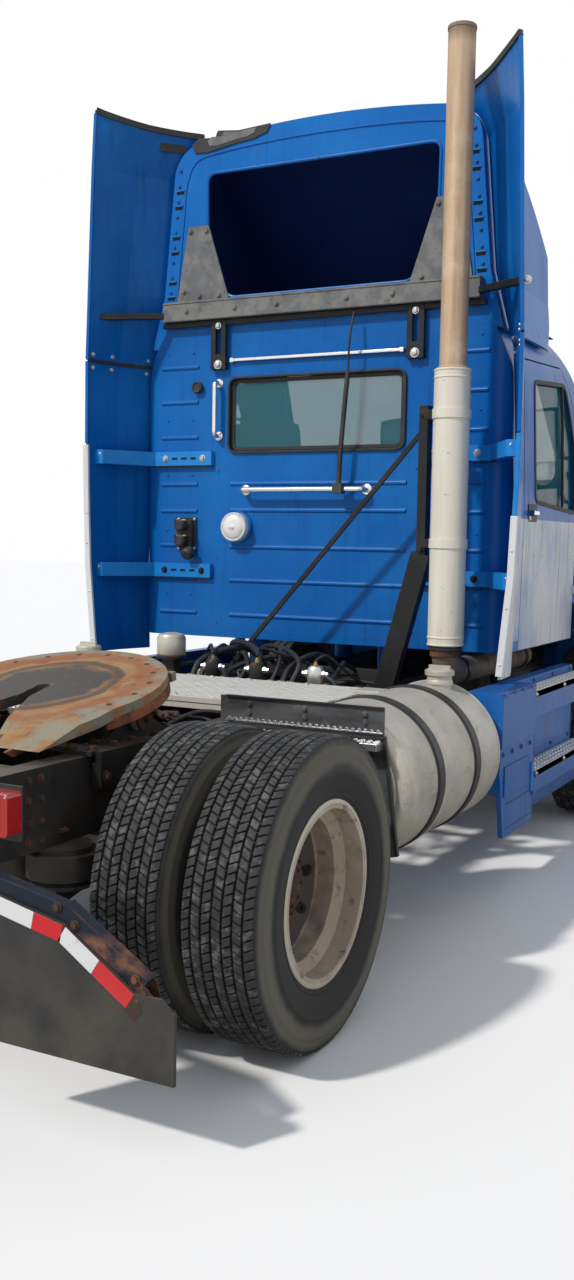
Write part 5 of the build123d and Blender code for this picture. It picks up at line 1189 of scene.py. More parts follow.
def makeFrameHardware():
    h = hardware
    s = Shape("rustySteel").bolts(grid(h["railX"], h["boltRows"], h["boltHeights"]), left, 0.011, 0.009)
    s.bolts(grid(0.38, (-0.435, -0.405, 0.885, 0.915), 0.9295), up, 0.01, 0.008)
    s.use("chassis")
    for y in h["gussets"]:
        gusset = [(0.421, 0.68), (0.421, 0.92), (0.36, 0.92), (0.36, 0.86), (0.405, 0.8),
                  (0.405, 0.74), (0.412, 0.68)]
        s.plate(gusset, y - 0.075, y - 0.067, "y")
    s.use("rustySteel")
    for y in h["frontClips"]:
        for x in (0.366, 0.484):
            s.tube([(x, y, 0.395), (x, y, 0.612)], 0.01, 8)
            s.lathe([(0.018, 0), (0.018, 0.016), (0, 0.016)], (x, y, 0.383), up, 6)
        bow = ((0.366, 0.6), (0.375, 0.618), (0.425, 0.622), (0.475, 0.618), (0.484, 0.6))
        s.tube(arcPath([(x, y, z) for x, z in bow], 3), 0.01, 8)
    for x, y, z in grid((0.377, 0.493), h["rearClips"], 0.425):
        s.tube([(x, y, z), (x, y, 0.66)], 0.011, 8)
        s.lathe([(0.019, 0), (0.019, 0.017), (0, 0.017)], (x, y, 0.655), up, 6)
    s.use("chassis").box(0.372, 0.498, 2.13, 2.29, 0.625, 0.648)
    s.use("seal")
    for y in h["springEyes"]:
        eye = [(0.03, -0.046), (0.034, -0.04), (0.034, 0.04), (0.03, 0.046), (0, 0.046)]
        s.lathe(eye, (0.425, y, 0.625), left, 20)
        s.lathe([(0, -0.046), (0.03, -0.046)], (0.425, y, 0.625), left, 20)
    s.use("chassis").tube([(0.55, -1.7, 0.5), (0.52, -1.64, 0.66)], 0.03, 16)  # damper
    s.tube([(0.523, -1.646, 0.645), (0.5, -1.6, 0.845)], 0.036, 16)
    s.use("rustySteel").tube([(0.42, -1.6, 0.85), (0.53, -1.6, 0.85)], 0.016, 12)
    s.tube([(0.49, -1.712, 0.478), (0.58, -1.712, 0.478)], 0.014, 12)
    s.bolts(grid(0.435, (2.605, 2.625), 0.705), up, 0.01, 0.008)
    s.mirrored().make("frame_hardware", "chassis", "chassis_black")


brakes = {
    "airTanks": (-0.21, 0.21), "airTankBands": (1.12, 1.52), "chamberX": 0.285, "chamberAxis": (0, 1, -0.12),
    "airTank": [(0, -0.335), (0.06, -0.332), (0.092, -0.315), (0.1, -0.29),
                (0.1, 0.29), (0.092, 0.315), (0.06, 0.332), (0, 0.335)],
    "chamber": [(0, -0.115), (0.06, -0.112), (0.082, -0.085), (0.086, -0.03), (0.088, -0.02), (0.088, 0.0),
                (0.082, 0.01), (0.08, 0.075), (0.06, 0.098), (0, 0.1)],
}


def makeAirAndBrakes():
    b = brakes
    s = Shape("chassis")
    for x in b["airTanks"]:
        s.use("chassis").lathe(b["airTank"], (x, 1.325, 0.8), rear, 32)
        s.use("chassisClean")
        for y in b["airTankBands"]:
            s.pipe((x, y, 0.8), rear, 0.1035, 0.0995, 0.03, 32)
            s.box(x - 0.012, x + 0.012, y + 0.002, y + 0.028, 0.9, 0.926)
        s.use("brass").bolt((x, 1.3, 0.7), down, 0.01, 0.012)
    for side in (-1, 1):
        x = side * b["chamberX"]
        s.use("chassis").lathe(b["chamber"], (x, 1.905, 0.66), b["chamberAxis"], 32)
        s.use("rustySteel").pipe((x, 1.888, 0.662), b["chamberAxis"], 0.093, 0.086, 0.018, 32)
        s.tube([(x, 2.0, 0.649), (x + side * 0.02, 2.09, 0.64)], 0.01, 10)
        s.use("chassis").tube([(side * 0.3, 2.075, 0.585), (side * 0.506, 2.075, 0.585)], 0.022, 14)
        s.plate([(2.055, 0.57), (2.1, 0.57), (2.105, 0.665), (2.075, 0.665)], side * 0.292, side * 0.312, "x")
        line = ((0.285, 1.82, 0.74), (0.255, 1.8, 0.82), (0.36, 1.84, 0.86),
                (0.405, 1.7, 0.85), (0.405, 1.2, 0.85))
        s.use("hose").hose([(side * x, y, z) for x, y, z in line], 0.009)
        line = ((0.305, 1.85, 0.74), (0.33, 1.86, 0.84), (0.4, 1.78, 0.8), (0.405, 1.2, 0.79))
        s.hose([(side * x, y, z) for x, y, z in line], 0.008)
    s.use("steel")
    for a in turns(12):
        at = (0.128, rearAxle + 0.165 * math.cos(a), wheelZ + 0.165 * math.sin(a))
        s.bolt(at, left, 0.01, 0.009)
    for a in turns(8):
        for y, z, axis in ((1.798, 0.555, (0, -1, 0.05)), (-0.589, 0.78, rear)):
            s.bolt((0.062 * math.cos(a), y, z + 0.062 * math.sin(a)), axis, 0.007, 0.008)
    s.use("chassis").ball((0, -0.52, 0.7725), 0.058).ball((0, 1.72, 0.5635), 0.058)
    s.pipe((0, 0.55, 0.672), (0, 0.995, -0.093), 0.055, 0.047, 0.2, 24)
    s.use("seal")
    for x in (0.435, -0.435):
        folds = [(0.098, 0.0), (0.11, 0.012), (0.098, 0.024), (0.11, 0.036), (0.098, 0.048)]
        s.lathe(folds, (x, 2.61, 0.535), up, 28)
    s.make("air_and_brakes", "chassis", "chassis_black")


makeFrameHardware()
makeAirAndBrakes()

lines = {  # what lies between the back wall and the deck
    "valves": (-0.3, 0.02, 0.27),
    "runs": [  # hoses on their fittings, as (points, radius)
        ([(0.55, 0.09, 1.02), (0.46, 0.2, 0.965), (0.35, 0.42, 1.0), (0.31, 0.53, 1.02)], 0.0095),
        ([(0.52, 0.1, 1.02), (0.36, 0.24, 0.955), (0.18, 0.4, 0.98), (0.06, 0.53, 1.02)], 0.0095),
        ([(0.57, 0.08, 1.03), (0.5, 0.3, 0.945), (0.46, 0.6, 0.945), (0.4, 0.82, 0.9)], 0.011),
        ([(-0.02, 0.53, 1.02), (-0.1, 0.42, 0.98), (-0.2, 0.24, 0.95),
          (-0.3, 0.14, 0.955), (-0.42, 0.1, 0.94)],
         0.009),
        ([(-0.34, 0.53, 1.02), (-0.42, 0.56, 0.98), (-0.45, 0.68, 0.94), (-0.4, 0.84, 0.86)], 0.01),
        ([(0.23, 0.53, 1.02), (0.16, 0.6, 0.99), (0.12, 0.72, 0.95), (0.2, 0.98, 0.905)], 0.01),
        ([(0.02, 0.53, 1.085), (0.02, 0.48, 1.12), (-0.1, 0.36, 1.07),
          (-0.24, 0.2, 0.99), (-0.3, 0.05, 0.97)],
         0.0075),
        ([(-0.3, 0.53, 1.085), (-0.33, 0.46, 1.1), (-0.4, 0.34, 1.0), (-0.44, 0.26, 0.95)], 0.0075),
        ([(0.27, 0.53, 1.085), (0.33, 0.46, 1.12), (0.44, 0.34, 1.02), (0.47, 0.24, 0.94)], 0.0075),
        ([(-0.1, 0.02, 0.975), (-0.06, 0.22, 0.96), (-0.14, 0.42, 0.97), (-0.12, 0.62, 0.94),
          (-0.18, 0.98, 0.905)],
         0.013),
        ([(0.1, 0.02, 0.97), (0.16, 0.2, 0.95), (0.08, 0.44, 0.965), (0.1, 0.7, 0.93), (0.06, 1.0, 0.84)],
         0.013),
        ([(0.36, 1.46, 0.945), (0.3, 1.57, 0.95), (0.16, 1.66, 0.905), (0.1, 1.718, 0.88)], 0.01),
        ([(-0.36, 1.46, 0.945), (-0.28, 1.56, 0.955), (-0.2, 1.66, 0.905), (-0.24, 1.718, 0.88)], 0.01),
        ([(0.2, 1.46, 0.94), (0.22, 1.57, 0.935), (0.05, 1.62, 0.945),
          (-0.14, 1.62, 0.94), (-0.34, 1.57, 0.93),
          (-0.402, 1.6, 0.88)], 0.008),
        ([(-0.39, 2.55, 0.85), (-0.36, 2.7, 0.9), (-0.34, 2.9, 0.88), (-0.44, 3.05, 0.87)], 0.009),
        ([(0.39, 2.55, 0.85), (0.36, 2.7, 0.9), (0.34, 2.9, 0.88), (0.44, 3.05, 0.87)], 0.009),
    ],
    "clips": ((0.46, 0.2, 0.967), (0.18, 0.4, 0.982), (-0.2, 0.24, 0.952), (0.12, 0.72, 0.952),
              (-0.12, 0.62, 0.942)),
    "loops": (  # arched hoses, as (x at the wall, x at the deck, height)
        (0.4, 0.34, 1.1), (0.33, 0.12, 1.07), (0.25, 0.39, 1.09), (0.1, -0.06, 1.1), (-0.04, 0.2, 1.06),
        (-0.18, -0.12, 1.08), (-0.3, -0.36, 1.05), (0.18, -0.17, 1.11),
        (0.37, 0.05, 1.12), (0.02, -0.3, 1.04),
    ),
}


def makeLines():
    s = Shape("chassis").box(-0.425, 0.425, 0.52, 0.56, 0.932, 0.955).box(-0.36, -0.3, 0.3, 0.56, 0.93, 0.965)
    for x in lines["valves"]:
        can = [(0, -0.05), (0.034, -0.05), (0.04, -0.035), (0.04, 0.03), (0.03, 0.045), (0, 0.045)]
        s.use("steel" if x < -0.1 else "chassisClean").lathe(can, (x, 0.53, 1.012), up, 20)
        s.use("steel")
        for way in (1, -1):
            nut = [(0.018, 0), (0.018, 0.014), (0.012, 0.016), (0.012, 0.03)]
            s.lathe(nut, (x + way * 0.038, 0.53, 1.02), (way, 0, 0), 6)
        s.use("brass").lathe([(0.012, 0), (0.012, 0.012), (0.007, 0.014), (0.007, 0.024)],
                             (x, 0.53, 1.057), up, 6)
    s.use("hose")
    for points, r in lines["runs"]:
        s.hose(points, r)
    s.use("steel")
    for x, y, z in lines["clips"]:
        s.pipe((x, y - 0.012, z), (0.2, 1, 0.1), 0.019, 0.013, 0.024, 12)
    for k, (x0, x1, z) in enumerate(lines["loops"]):
        r = 0.0105 + 0.0025 * (k % 3)
        arch = [(x0, 0.03, 0.985), (x0 + 0.02, 0.14, z - 0.02), ((x0 + x1) / 2, 0.29, z),
                (x1, 0.45, z - 0.05)]
        s.use("hose").hose([*arch, (x1, 0.54, 0.955)], r)
        s.use("steel" if k % 3 else "brass").pipe((x1, 0.54, 0.955), up, r + 0.006, r, 0.022, 8)
    s.use("chassis").box(0.425, 0.655, 0.405, 0.5, 0.935, 0.95).box(0.535, 0.605, 0.42, 0.485, 0.95, 1.05)
    s.lathe([(0.0, 0.0), (0.078, 0.0), (0.078, 0.014), (0.07, 0.02)], (0.57, 0.452, 1.04), up, 28)
    lid = [(0.07, 0.018), (0.074, 0.026), (0.074, 0.104), (0.064, 0.122), (0.03, 0.13), (0.0, 0.131)]
    s.use("aluminium").lathe(lid, (0.57, 0.452, 1.04), up, 28)
    s.use("hose").hose([(0.545, 0.425, 1.005), (0.5, 0.33, 1.01), (0.45, 0.2, 0.99),
                        (0.4, 0.05, 0.975)], 0.01)
    s.use("seal").box(-0.43, 0.43, 0.012, 0.06, 0.94, 1.005)
    s.use("chassis").box(-0.5, -0.44, 0.02, 0.075, 0.94, 1.06)
    s.use("aluminium").box(0.34, 0.42, 0.34, 0.46, 0.935, 0.985)
    s.use("steel").bolts(((0.36, 0.36, 0.985), (0.4, 0.44, 0.985)), up, 0.009, 0.007)
    s.make("lines_behind_cab", "chassis", "black_plastic")


makeLines()
print("chassis ready")

flapTape = {
    "line": [(0.592, 0.622), (0.824, 0.574), (1.052, 0.428)], "width": 0.05, "length": 0.135, "face": 3.1132,
    "finishes": ("tapeWhite", "tapeRed"),
}
tailLamp = {"lensStart": 0.525, "ribs": 9, "ribPitch": 0.0125, "ribWidth": 0.0045, "low": 0.83, "high": 0.922}


def makeFlapTape():
    t = flapTape
    s, count = Shape("tapeRed"), 0
    corner = [vec(p[0], 0, p[1]) for p in t["line"]]
    for a, b in zip(corner, corner[1:]):
        along = (b - a).normalized()
        across = vec(-along.z, 0, along.x) * t["width"] / 2
        total, at = (b - a).length, 0.0
        while at < total - 0.01:
            end = min(at + t["length"], total)
            p, q = a + along * at, a + along * (end - 0.001)
            outline = [(c.x, c.z) for c in (p - across, q - across, q + across, p + across)]
            s.use(t["finishes"][count % 2]).plate(outline, t["face"] - 0.0004, t["face"] + 0.0008, "y")
            at, count = end, count + 1
    s.mirrored().make("flap_tape", "chassis", "")


def makeHangerTrim():
    s = Shape("hanger")
    arm = [(0.592, 0.64), (0.828, 0.592), (1.058, 0.446), (1.05, 0.434), (0.822, 0.58), (0.59, 0.628)]
    s.plate(arm, 3.1005, 3.1135, "y").use("rustySteel")
    s.plate([(1.02, 0.53), (1.1, 0.475), (1.112, 0.43), (1.085, 0.41), (1.035, 0.445)], 3.056, 3.0602, "y")
    s.plate([(1.055, 0.5), (1.125, 0.445), (1.115, 0.395), (1.06, 0.425)], 3.1, 3.1006, "y")
    s.plate([(1.04, 0.452), (1.078, 0.44), (1.088, 0.405), (1.062, 0.378), (1.03, 0.402)], 3.113, 3.1138, "y")
    for x, z in ((1.06, 0.485), (1.09, 0.455), (0.8, 0.64), (0.86, 0.6)):
        s.bolt((x, 3.1005, z), rear, 0.011, 0.008)
    foot = [(0.4305, 0.76), (0.47, 0.76), (0.52, 0.705), (0.52, 0.665), (0.4305, 0.64)]
    s.use("chassis").plate(foot, 3.06, 3.068, "y")
    s.use("rustySteel").bolts(grid(0.4315, (3.065, 3.095), (0.655, 0.735)), left, 0.01, 0.009)
    s.mirrored().make("hanger_trim", "chassis", "chassis_black")


def makeTailLenses():
    t = tailLamp
    s = Shape("lensRed")
    for k in range(t["ribs"]):
        x = t["lensStart"] + k * t["ribPitch"]
        s.box(x, x + t["ribWidth"], 3.1195, 3.1204, t["low"], t["high"])
    s.use("lensClear").box(0.468, 0.512, 3.11, 3.1203, 0.828, 0.922)
    s.use("steel").bolts(grid((0.466, 0.515, 0.631), 3.1172, 0.928), rear, 0.005, 0.001)
    s.use("hose").hose([(0.55, 3.055, 0.86), (0.52, 3.02, 0.83), (0.46, 3.0, 0.84),
                        (0.432, 2.97, 0.85)], 0.007)
    s.mirrored().make("tail_lamp_lenses", "chassis", "lamp_red")


dress("tail_lamps", "lensRed", lambda c, n: c.y > 3.062)
makeFlapTape()
makeHangerTrim()
makeTailLenses()

step = {"front": -1.15, "rear": -0.06, "treads": ((0.94, 1.101, 1.197), (0.55, 1.101, 1.207)),
        "craters": 40, "craterRows": 3, "rowPitch": 0.032, "stagger": 0.008}


def makeSteps():
    c = step
    s = Shape("aluminium")
    crater = [(0.0085, 0), (0.0065, 0.004), (0.0045, 0.004), (0.004, 0.0)]
    pitch = (c["rear"] - c["front"] - 0.03) / (c["craters"] - 1)
    for z, x0, x1 in c["treads"]:
        s.use("tread").box(x0, x1, c["front"], c["rear"], z, z + 0.003)
        s.box(x1 - 0.002, x1 + 0.003, c["front"], c["rear"], z - 0.03, z + 0.003)
        for k in range(c["craters"]):
            for j in range(c["craterRows"]):
                x = x0 + 0.018 + j * c["rowPitch"] + k % 2 * c["stagger"]
                s.lathe(crater, (x, c["front"] + 0.015 + k * pitch, z + 0.003), up, 8)
        s.use("steel")
        s.bolts(grid(x1 + 0.003, (c["front"] + 0.03, -0.6, c["rear"] - 0.03), z - 0.016), left, 0.008, 0.006)
    s.use("freshBlue").box(1.1, 1.208, -0.052, -0.02, 0.455, 0.6)
    s.use("cabBlue").box(1.0955, 1.0975, -1.1, -0.12, 0.6, 0.775)
    s.use("seal").box(1.0305, 1.201, -0.0735, -0.0705, 0.335, 0.979)
    for z in (0.345, 0.46):
        s.box(1.1995, 1.2008, -0.05, 0.36, z, z + 0.004)
    s.use("cabBlue").bolts(grid(1.2005, (0.0, 0.14, 0.28, 0.42), (0.965, 0.7)), left, 0.009, 0.007)
    s.bolts(grid(1.0955, (-1.1, -0.75, -0.4, -0.1), (0.96, 0.585)), left, 0.008, 0.006)
    s.box(1.2005, 1.2065, 0.02, 0.4, 0.5, 0.64)
    s.mirrored().make("step_treads", "chassis", "bare_aluminium")


makeSteps()


def sideX(z):  # how far out the cab's side is at a height
    if z <= 1.75:
        return 1.053 + 0.012 * (z - 1.12) / 0.63
    if z <= 2.44:
        return 1.065 - 0.022 * (z - 1.75) / 0.69
    return 0.53882 + math.sqrt(max(0.50443 ** 2 - (z - 2.42392) ** 2, 0.0))


def frontY(x, z):  # the cab's front: the raked windscreen, where it lies behind the bowed plan
    rake = -1.64 + max(z - 1.96, 0.0) * 0.56 / 0.89
    x = abs(x)
    bow = -1.64 + 0.08 * (x / 0.84) ** 2 if x < 0.84 else -1.56 + (x - 0.84) * 0.32 / 0.225
    return max(rake, bow)


door = {
    "glass": [(-0.435, 1.872), (-0.412, 2.478), (-1.005, 2.528), (-1.205, 2.205), (-1.205, 1.835)],
    "lining": [(-1.2, 1.21), (-0.29, 1.21), (-0.29, 1.82), (-1.2, 1.8)],
    "pillar": -0.96, "handleCup": (-0.455, -0.305, 1.768, 1.858), "lockY": -0.325,
    "mirrorFront": -1.262, "mirrorRear": -1.18, "mirrorFrame": (1.118, 1.277, 1.998, 2.427),
    "roundMirrorX": 1.1975, "roundMirrorZ": 2.066, "screwHeights": (1.9, 2.15, 2.05, 2.38),
}


def addDoorOutside(s, sign, out):
    d = door
    loop = dense(rounded(d["glass"], 0.05, 6), 0.05)
    s.strip([(sign * (sideX(z) - 0.001), y, z) for y, z in loop], 0.022, 0.01, left, True)
    bar = [(sign * (sideX(z) - 0.003), d["pillar"], z) for z in (1.86, 2.1, 2.3, 2.515)]
    s.strip(bar, 0.012, 0.014, left)
    s.use("plastic").plate(roundedBox(*d["handleCup"], 0.02), sign * 1.062, sign * 1.0665, "x")
    lock = [(0.012, 0), (0.012, 0.005), (0.004, 0.006), (0.004, 0.003), (0, 0.003)]
    s.use("steel").lathe(lock, (sign * 1.0665, d["lockY"], 1.785), out, 16)
    s.use("bright").box(sign * 1.0835, sign * 1.0895, -0.418, -0.332, 1.803, 1.823)


def addDoorMirror(s, sign):
    d = door
    y0, y1 = d["mirrorFront"], d["mirrorRear"]
    rim = [(sign * x, y1 + 0.001, z) for x, z in roundedBox(*d["mirrorFrame"], 0.02)]
    s.use("plastic").strip(rim, 0.01, 0.008, rear, True)
    s.use("mirrorGlass").box(sign * 1.122, sign * 1.273, y1 - 0.001, y1 + 0.002, 2.135, 2.423)
    at = (sign * d["roundMirrorX"], y1, d["roundMirrorZ"])
    s.lathe([(0.066, 0.001), (0.05, 0.006), (0.025, 0.009), (0, 0.01)], at, rear, 36)
    s.use("plastic").lathe([(0.071, 0), (0.071, 0.004), (0.065, 0.006)], at, rear, 36)
    s.use("seal").box(sign * 1.112, sign * 1.283, y0 - 0.0008, y0 + 0.001, 2.2, 2.206)


def addDoorInside(s, sign, inward):
    lining = rounded(door["lining"], 0.04, 4)
    s.use("vinyl").plate(lining, sign * 1.002, sign * 1.016, "x")
    s.box(sign * 0.945, sign * 1.003, -0.98, -0.52, 1.58, 1.63)
    s.box(sign * 0.975, sign * 1.003, -1.1, -0.45, 1.26, 1.4)
    winder = [(0.03, 0), (0.026, 0.014), (0.014, 0.02), (0, 0.02)]
    s.use("plastic").lathe(winder, (sign * 1.002, -0.72, 1.5), inward, 20)
    s.tube([(sign * 0.986, -0.72, 1.5), (sign * 0.98, -0.68, 1.43)], 0.008, 8)
    s.ball((sign * 0.966, -0.68, 1.43), 0.017)
    s.use("bright").box(sign * 0.99, sign * 1.003, -0.5, -0.4, 1.7, 1.725)


def makeDoors():
    for side, sign in sides:
        out, inward = (sign, 0, 0), (-sign, 0, 0)
        s = Shape("seal")
        addDoorOutside(s, sign, out)
        addDoorMirror(s, sign)
        s.use("steel")
        for z in door["screwHeights"]:
            s.bolt((sign * (sideX(z) + 0.001), -1.228, z - 0.022), out, 0.007, 0.005)
        addDoorInside(s, sign, inward)
        s.make("door_trim_" + side, "door_" + side, "black_plastic", 0.0015)


makeDoors()

windscreen = {
    "outline": [(-0.89, 2.03), (0.89, 2.03), (0.8, 2.74), (-0.8, 2.74)],
    "out": (0, -0.846, 0.532),  # away from the glass
    "wipers": ((-0.06, -0.74), (0.62, -0.02)),  # where each arm starts and where its blade ends
    "roofLamps": (-0.54, -0.2, 0.0, 0.2, 0.54),
}


def makeWindscreen():
    out = windscreen["out"]
    s = Shape("seal")
    lift = vec(*out) * 0.002
    loop = dense(rounded(windscreen["outline"], 0.06, 6), 0.06)
    s.strip([vec(x, frontY(x, z), z) + lift for x, z in loop], 0.028, 0.01, out, True)
    for x0, x1 in windscreen["wipers"]:
        pivot = vec(x0, frontY(x0, 1.985) - 0.012, 1.99)
        s.use("plastic").lathe([(0.022, 0), (0.022, 0.02), (0.014, 0.028), (0, 0.028)], pivot, out, 16)
        middle, half = (x0 + x1) / 2, (x1 - x0) * 0.46
        mid = vec(middle, frontY(middle, 2.095) - 0.026, 2.105)
        s.strip([pivot + lift * 10, (pivot + mid) / 2 + vec(0, -0.012, 0.004), mid], 0.014, 0.008, out)
        xs = [middle + half * (1 - k / 4) for k in range(9)]
        blade = [vec(x, frontY(x, 2.095) - 0.014, 2.095) for x in xs]
        s.use("seal").strip(blade, 0.01, 0.014, out)
        s.use("plastic").strip([p + vec(0, -0.01, 0.006) for p in blade[1:-1]], 0.012, 0.006, out)
    s.make("windscreen_seal", "chassis", "black_plastic", 0.001)


def makeMarkerLamps():
    s = Shape("plastic")
    for x in windscreen["roofLamps"]:
        at = (x, -1.33, 2.768)
        s.use("plastic").lathe([(0.044, 0), (0.045, 0.012), (0.034, 0.02)], at, front, 24)
        s.use("lensAmber").lathe([(0.036, 0.012), (0.032, 0.028), (0.016, 0.038), (0, 0.039)], at, front, 24)
    s.make("marker_lamps", "chassis", "lamp_red")


makeWindscreen()
makeMarkerLamps()

hood = {
    "nose": ((0.722, -3.055), (1.18, -3.033), (1.405, -2.96)),  # its side arc, as (height, y)
    "bow": 0.04, "bowHalf": 0.505, "fenderX": 0.55026, "fenderY": -2.35, "fenderRadius": 0.66474,
    "archRadius": 0.636, "meshPitch": 0.025, "slats": 6, "slatPitch": 0.076, "vents": 9, "ventPitch": 0.02,
    "lamp": [(0.702, 0.908), (0.8, 0.912), (0.95, 0.919), (1.118, 0.928), (1.126, 1.0),
             (1.127, 1.057), (0.95, 1.064), (0.8, 1.069), (0.694, 1.072), (0.698, 0.99)],
    "lampZ": 0.993, "bowls": ((0.835, 0.25), (0.985, 0.55)),  # x and how far each one turns outward
}


def noseY(x, z):  # the nose's side arc, or the bowed plan where it lies further back
    h = hood
    return max(parabola(h["nose"], z), h["nose"][0][1] + h["bow"] * (x / h["bowHalf"]) ** 2)


def fenderY(x):
    h = hood
    return h["fenderY"] - math.sqrt(max(h["fenderRadius"] ** 2 - (abs(x) - h["fenderX"]) ** 2, 0.0))


def makeGrille():
    h = hood
    s = Shape("plastic")
    for k in range(31):
        x = -0.375 + k * h["meshPitch"]
        s.strip([(x, noseY(x, z) + 0.04, z) for z in (0.83, 0.95, 1.07, 1.18, 1.27)], 0.003, 0.003, rear)
    for k in range(18):
        z = 0.835 + k * h["meshPitch"]
        s.strip([(x, noseY(x, z) + 0.043, z) for x in (-0.38, -0.2, 0.0, 0.2, 0.38)], 0.003, 0.003, rear)
    foot, flank = [(x, 0.8) for x in (-0.405, -0.2, 0, 0.2, 0.405)], [(0.405, 0.95), (0.405, 1.12)]
    rim = foot + flank + [(-x, 1.3) for x, z in foot] + [(-x, z) for x, z in flank[::-1]]
    s.use("bright").strip([(x, noseY(x, z) - 0.002, z) for x, z in rim], 0.02, 0.008, rear, True)
    for i in range(h["slats"]):
        z = 0.872 + h["slatPitch"] * i
        s.strip([(x, noseY(x, z) - 0.0015, z) for x in (-0.38, -0.19, 0.0, 0.19, 0.38)], 0.01, 0.004, rear)
    s.make("grille_mesh", "hood", "black_plastic")


def addHeadlamp(s):
    h = hood
    s.use("seal").strip([(x, fenderY(x) - 0.002, z) for x, z in h["lamp"]], 0.01, 0.01, (0.4, -0.9, 0), True)
    for x, lean in h["bowls"]:
        y, z = fenderY(x) + 0.014, h["lampZ"]
        bowl = [(0.058, 0.0), (0.054, -0.022), (0.04, -0.042), (0.018, -0.052), (0, -0.053)]
        s.use("bright").lathe(bowl, (x, y, z), (lean, -1, 0), 32)
        s.lathe([(0.058, 0.0), (0.062, 0.002), (0.062, -0.004)], (x, y, z), (lean, -1, 0), 32)
        s.use("lensClear").ball((x - 0.02 * lean, y + 0.022, z), 0.014)
    y = fenderY(1.085)
    s.use("lensAmber").box(1.07, 1.105, y + 0.016, y + 0.04, 0.945, 1.045)
    s.use("plastic").plate([(0.71, 0.92), (1.105, 0.94), (1.11, 1.045), (0.7, 1.06)], -2.83, -2.8, "y")


def makeHoodTrim():
    h = hood
    s, arch = Shape("seal"), []
    for a in (math.radians(a) for a in range(34, 162, 4)):
        x, y, z = 1.206, frontAxle + h["archRadius"] * math.cos(a), wheelZ + h["archRadius"] * math.sin(a)
        if y <= h["fenderY"]:
            x = h["fenderX"] + math.sqrt(h["fenderRadius"] ** 2 - (y - h["fenderY"]) ** 2) - 0.009
        arch.append((x, y, z))
    s.strip(arch, 0.018, 0.02, left)
    s.use("plastic").box(1.214, 1.219, -1.36, -1.325, 1.1, 1.2)
    s.use("seal").strip([(1.222, -1.343, 1.115), (1.226, -1.343, 1.15),
                         (1.222, -1.335, 1.19)], 0.018, 0.01, left)
    s.use("plastic").plate(roundedBox(-2.02, -1.9, 1.215, 1.255, 0.012, 3), 1.214, 1.22, "x")
    s.use("lensAmber").plate(roundedBox(-2.012, -1.908, 1.221, 1.249, 0.01, 3), 1.219, 1.229, "x")
    addHeadlamp(s)
    s.mirrored().make("hood_trim", "hood", "black_plastic")

    s = Shape("plastic")
    for j in range(h["vents"]):
        s.strip([(0.9045, -1.7 - j * h["ventPitch"], z) for z in (1.355, 1.44, 1.52)], 0.008, 0.006, left)
    s.mirrored().make("hood_vents", "hood", "black_plastic")


bumper = {
    "cornerX": 0.80968, "cornerY": -2.7, "cornerRadius": 0.40032, "nose": -3.12, "bow": 0.035,
    "fogLampX": 0.86, "fogLampZ": 0.5, "slots": 7, "slotPitch": 0.013,
    "bolts": ((0.37, 0.6), (0.37, 0.42), (1.0, 0.6), (1.0, 0.4), (0.6, 0.6)),
}


def bumperY(x):  # the bowed face, then the round corner
    b = bumper
    if x < 0.7:
        return b["nose"] + b["bow"] * (x / 0.7) ** 2
    return b["cornerY"] - math.sqrt(b["cornerRadius"] ** 2 - (x - b["cornerX"]) ** 2)


def makeBumperFittings():
    b = bumper
    s = Shape("plastic")
    c, out = (b["fogLampX"], bumperY(b["fogLampX"]), b["fogLampZ"]), (0.12, -1, 0)
    s.lathe([(0.072, -0.004), (0.072, 0.003), (0.06, 0.006), (0.056, 0.002), (0.056, -0.02)], c, out, 36)
    s.use("bright").lathe([(0.055, -0.004), (0.048, -0.02), (0.03, -0.032), (0, -0.036)], c, out, 36)
    s.use("lensClear").lathe([(0.056, 0.0), (0.045, 0.003), (0.02, 0.0045), (0, 0.005)], c, out, 36)
    s.use("seal").strip([(0.2, -3.1165, 0.64), (0.5, -3.101, 0.64), (0.7, -3.0865, 0.64)], 0.02, 0.006, rear)
    s.strip([(0.0, -3.1185, 0.64), (0.2, -3.1165, 0.64)], 0.02, 0.004, rear)
    hook = ((0.27, -3.06, 0.515), (0.27, -3.095, 0.515), (0.285, -3.103, 0.5), (0.3, -3.095, 0.515),
            (0.3, -3.06, 0.515))
    s.use("rustySteel").hose(hook, 0.01, 10).box(0.255, 0.315, -3.066, -3.05, 0.48, 0.55)
    s.use("plastic")
    for k in range(b["slots"]):
        z = 0.475 + k * b["slotPitch"]
        s.box(0.0, 0.245, -3.098, -3.094, z, z + 0.005)
    s.use("steel").bolts([(x, bumperY(x), z) for x, z in b["bolts"]], front, 0.01, 0.0)
    s.mirrored().make("bumper_fittings", "chassis", "black_plastic")


makeGrille()
makeHoodTrim()
makeBumperFittings()
print("front ready")

engine = {
    "coverBolts": 7, "ports": 6, "turbo": (-0.44, -2.12, 1.28), "cleaner": (0.55, -2.1, 1.28), "filters": 2,
    "intake": [(-0.44, -1.99, 1.28), (-0.5, -1.9, 1.42), (-0.3, -1.74, 1.56), (0.2, -1.74, 1.54),
               (0.42, -1.82, 1.42), (0.52, -1.95, 1.3)],
    "coolantHoses": ([(0.2, -2.73, 1.38), (0.2, -2.66, 1.42), (0.16, -2.56, 1.44), (0.12, -2.49, 1.44)],
                     [(-0.24, -2.72, 0.985), (-0.24, -2.68, 0.98), (-0.2, -2.64, 1.02),
                      (-0.18, -2.62, 1.08)]),
    "fan": (0, -2.675, 1.19), "blades": 9, "bladeRoot": 0.055, "bladeTip": 0.245,
    "radiatorFins": 30, "finPitch": 0.0318,
}


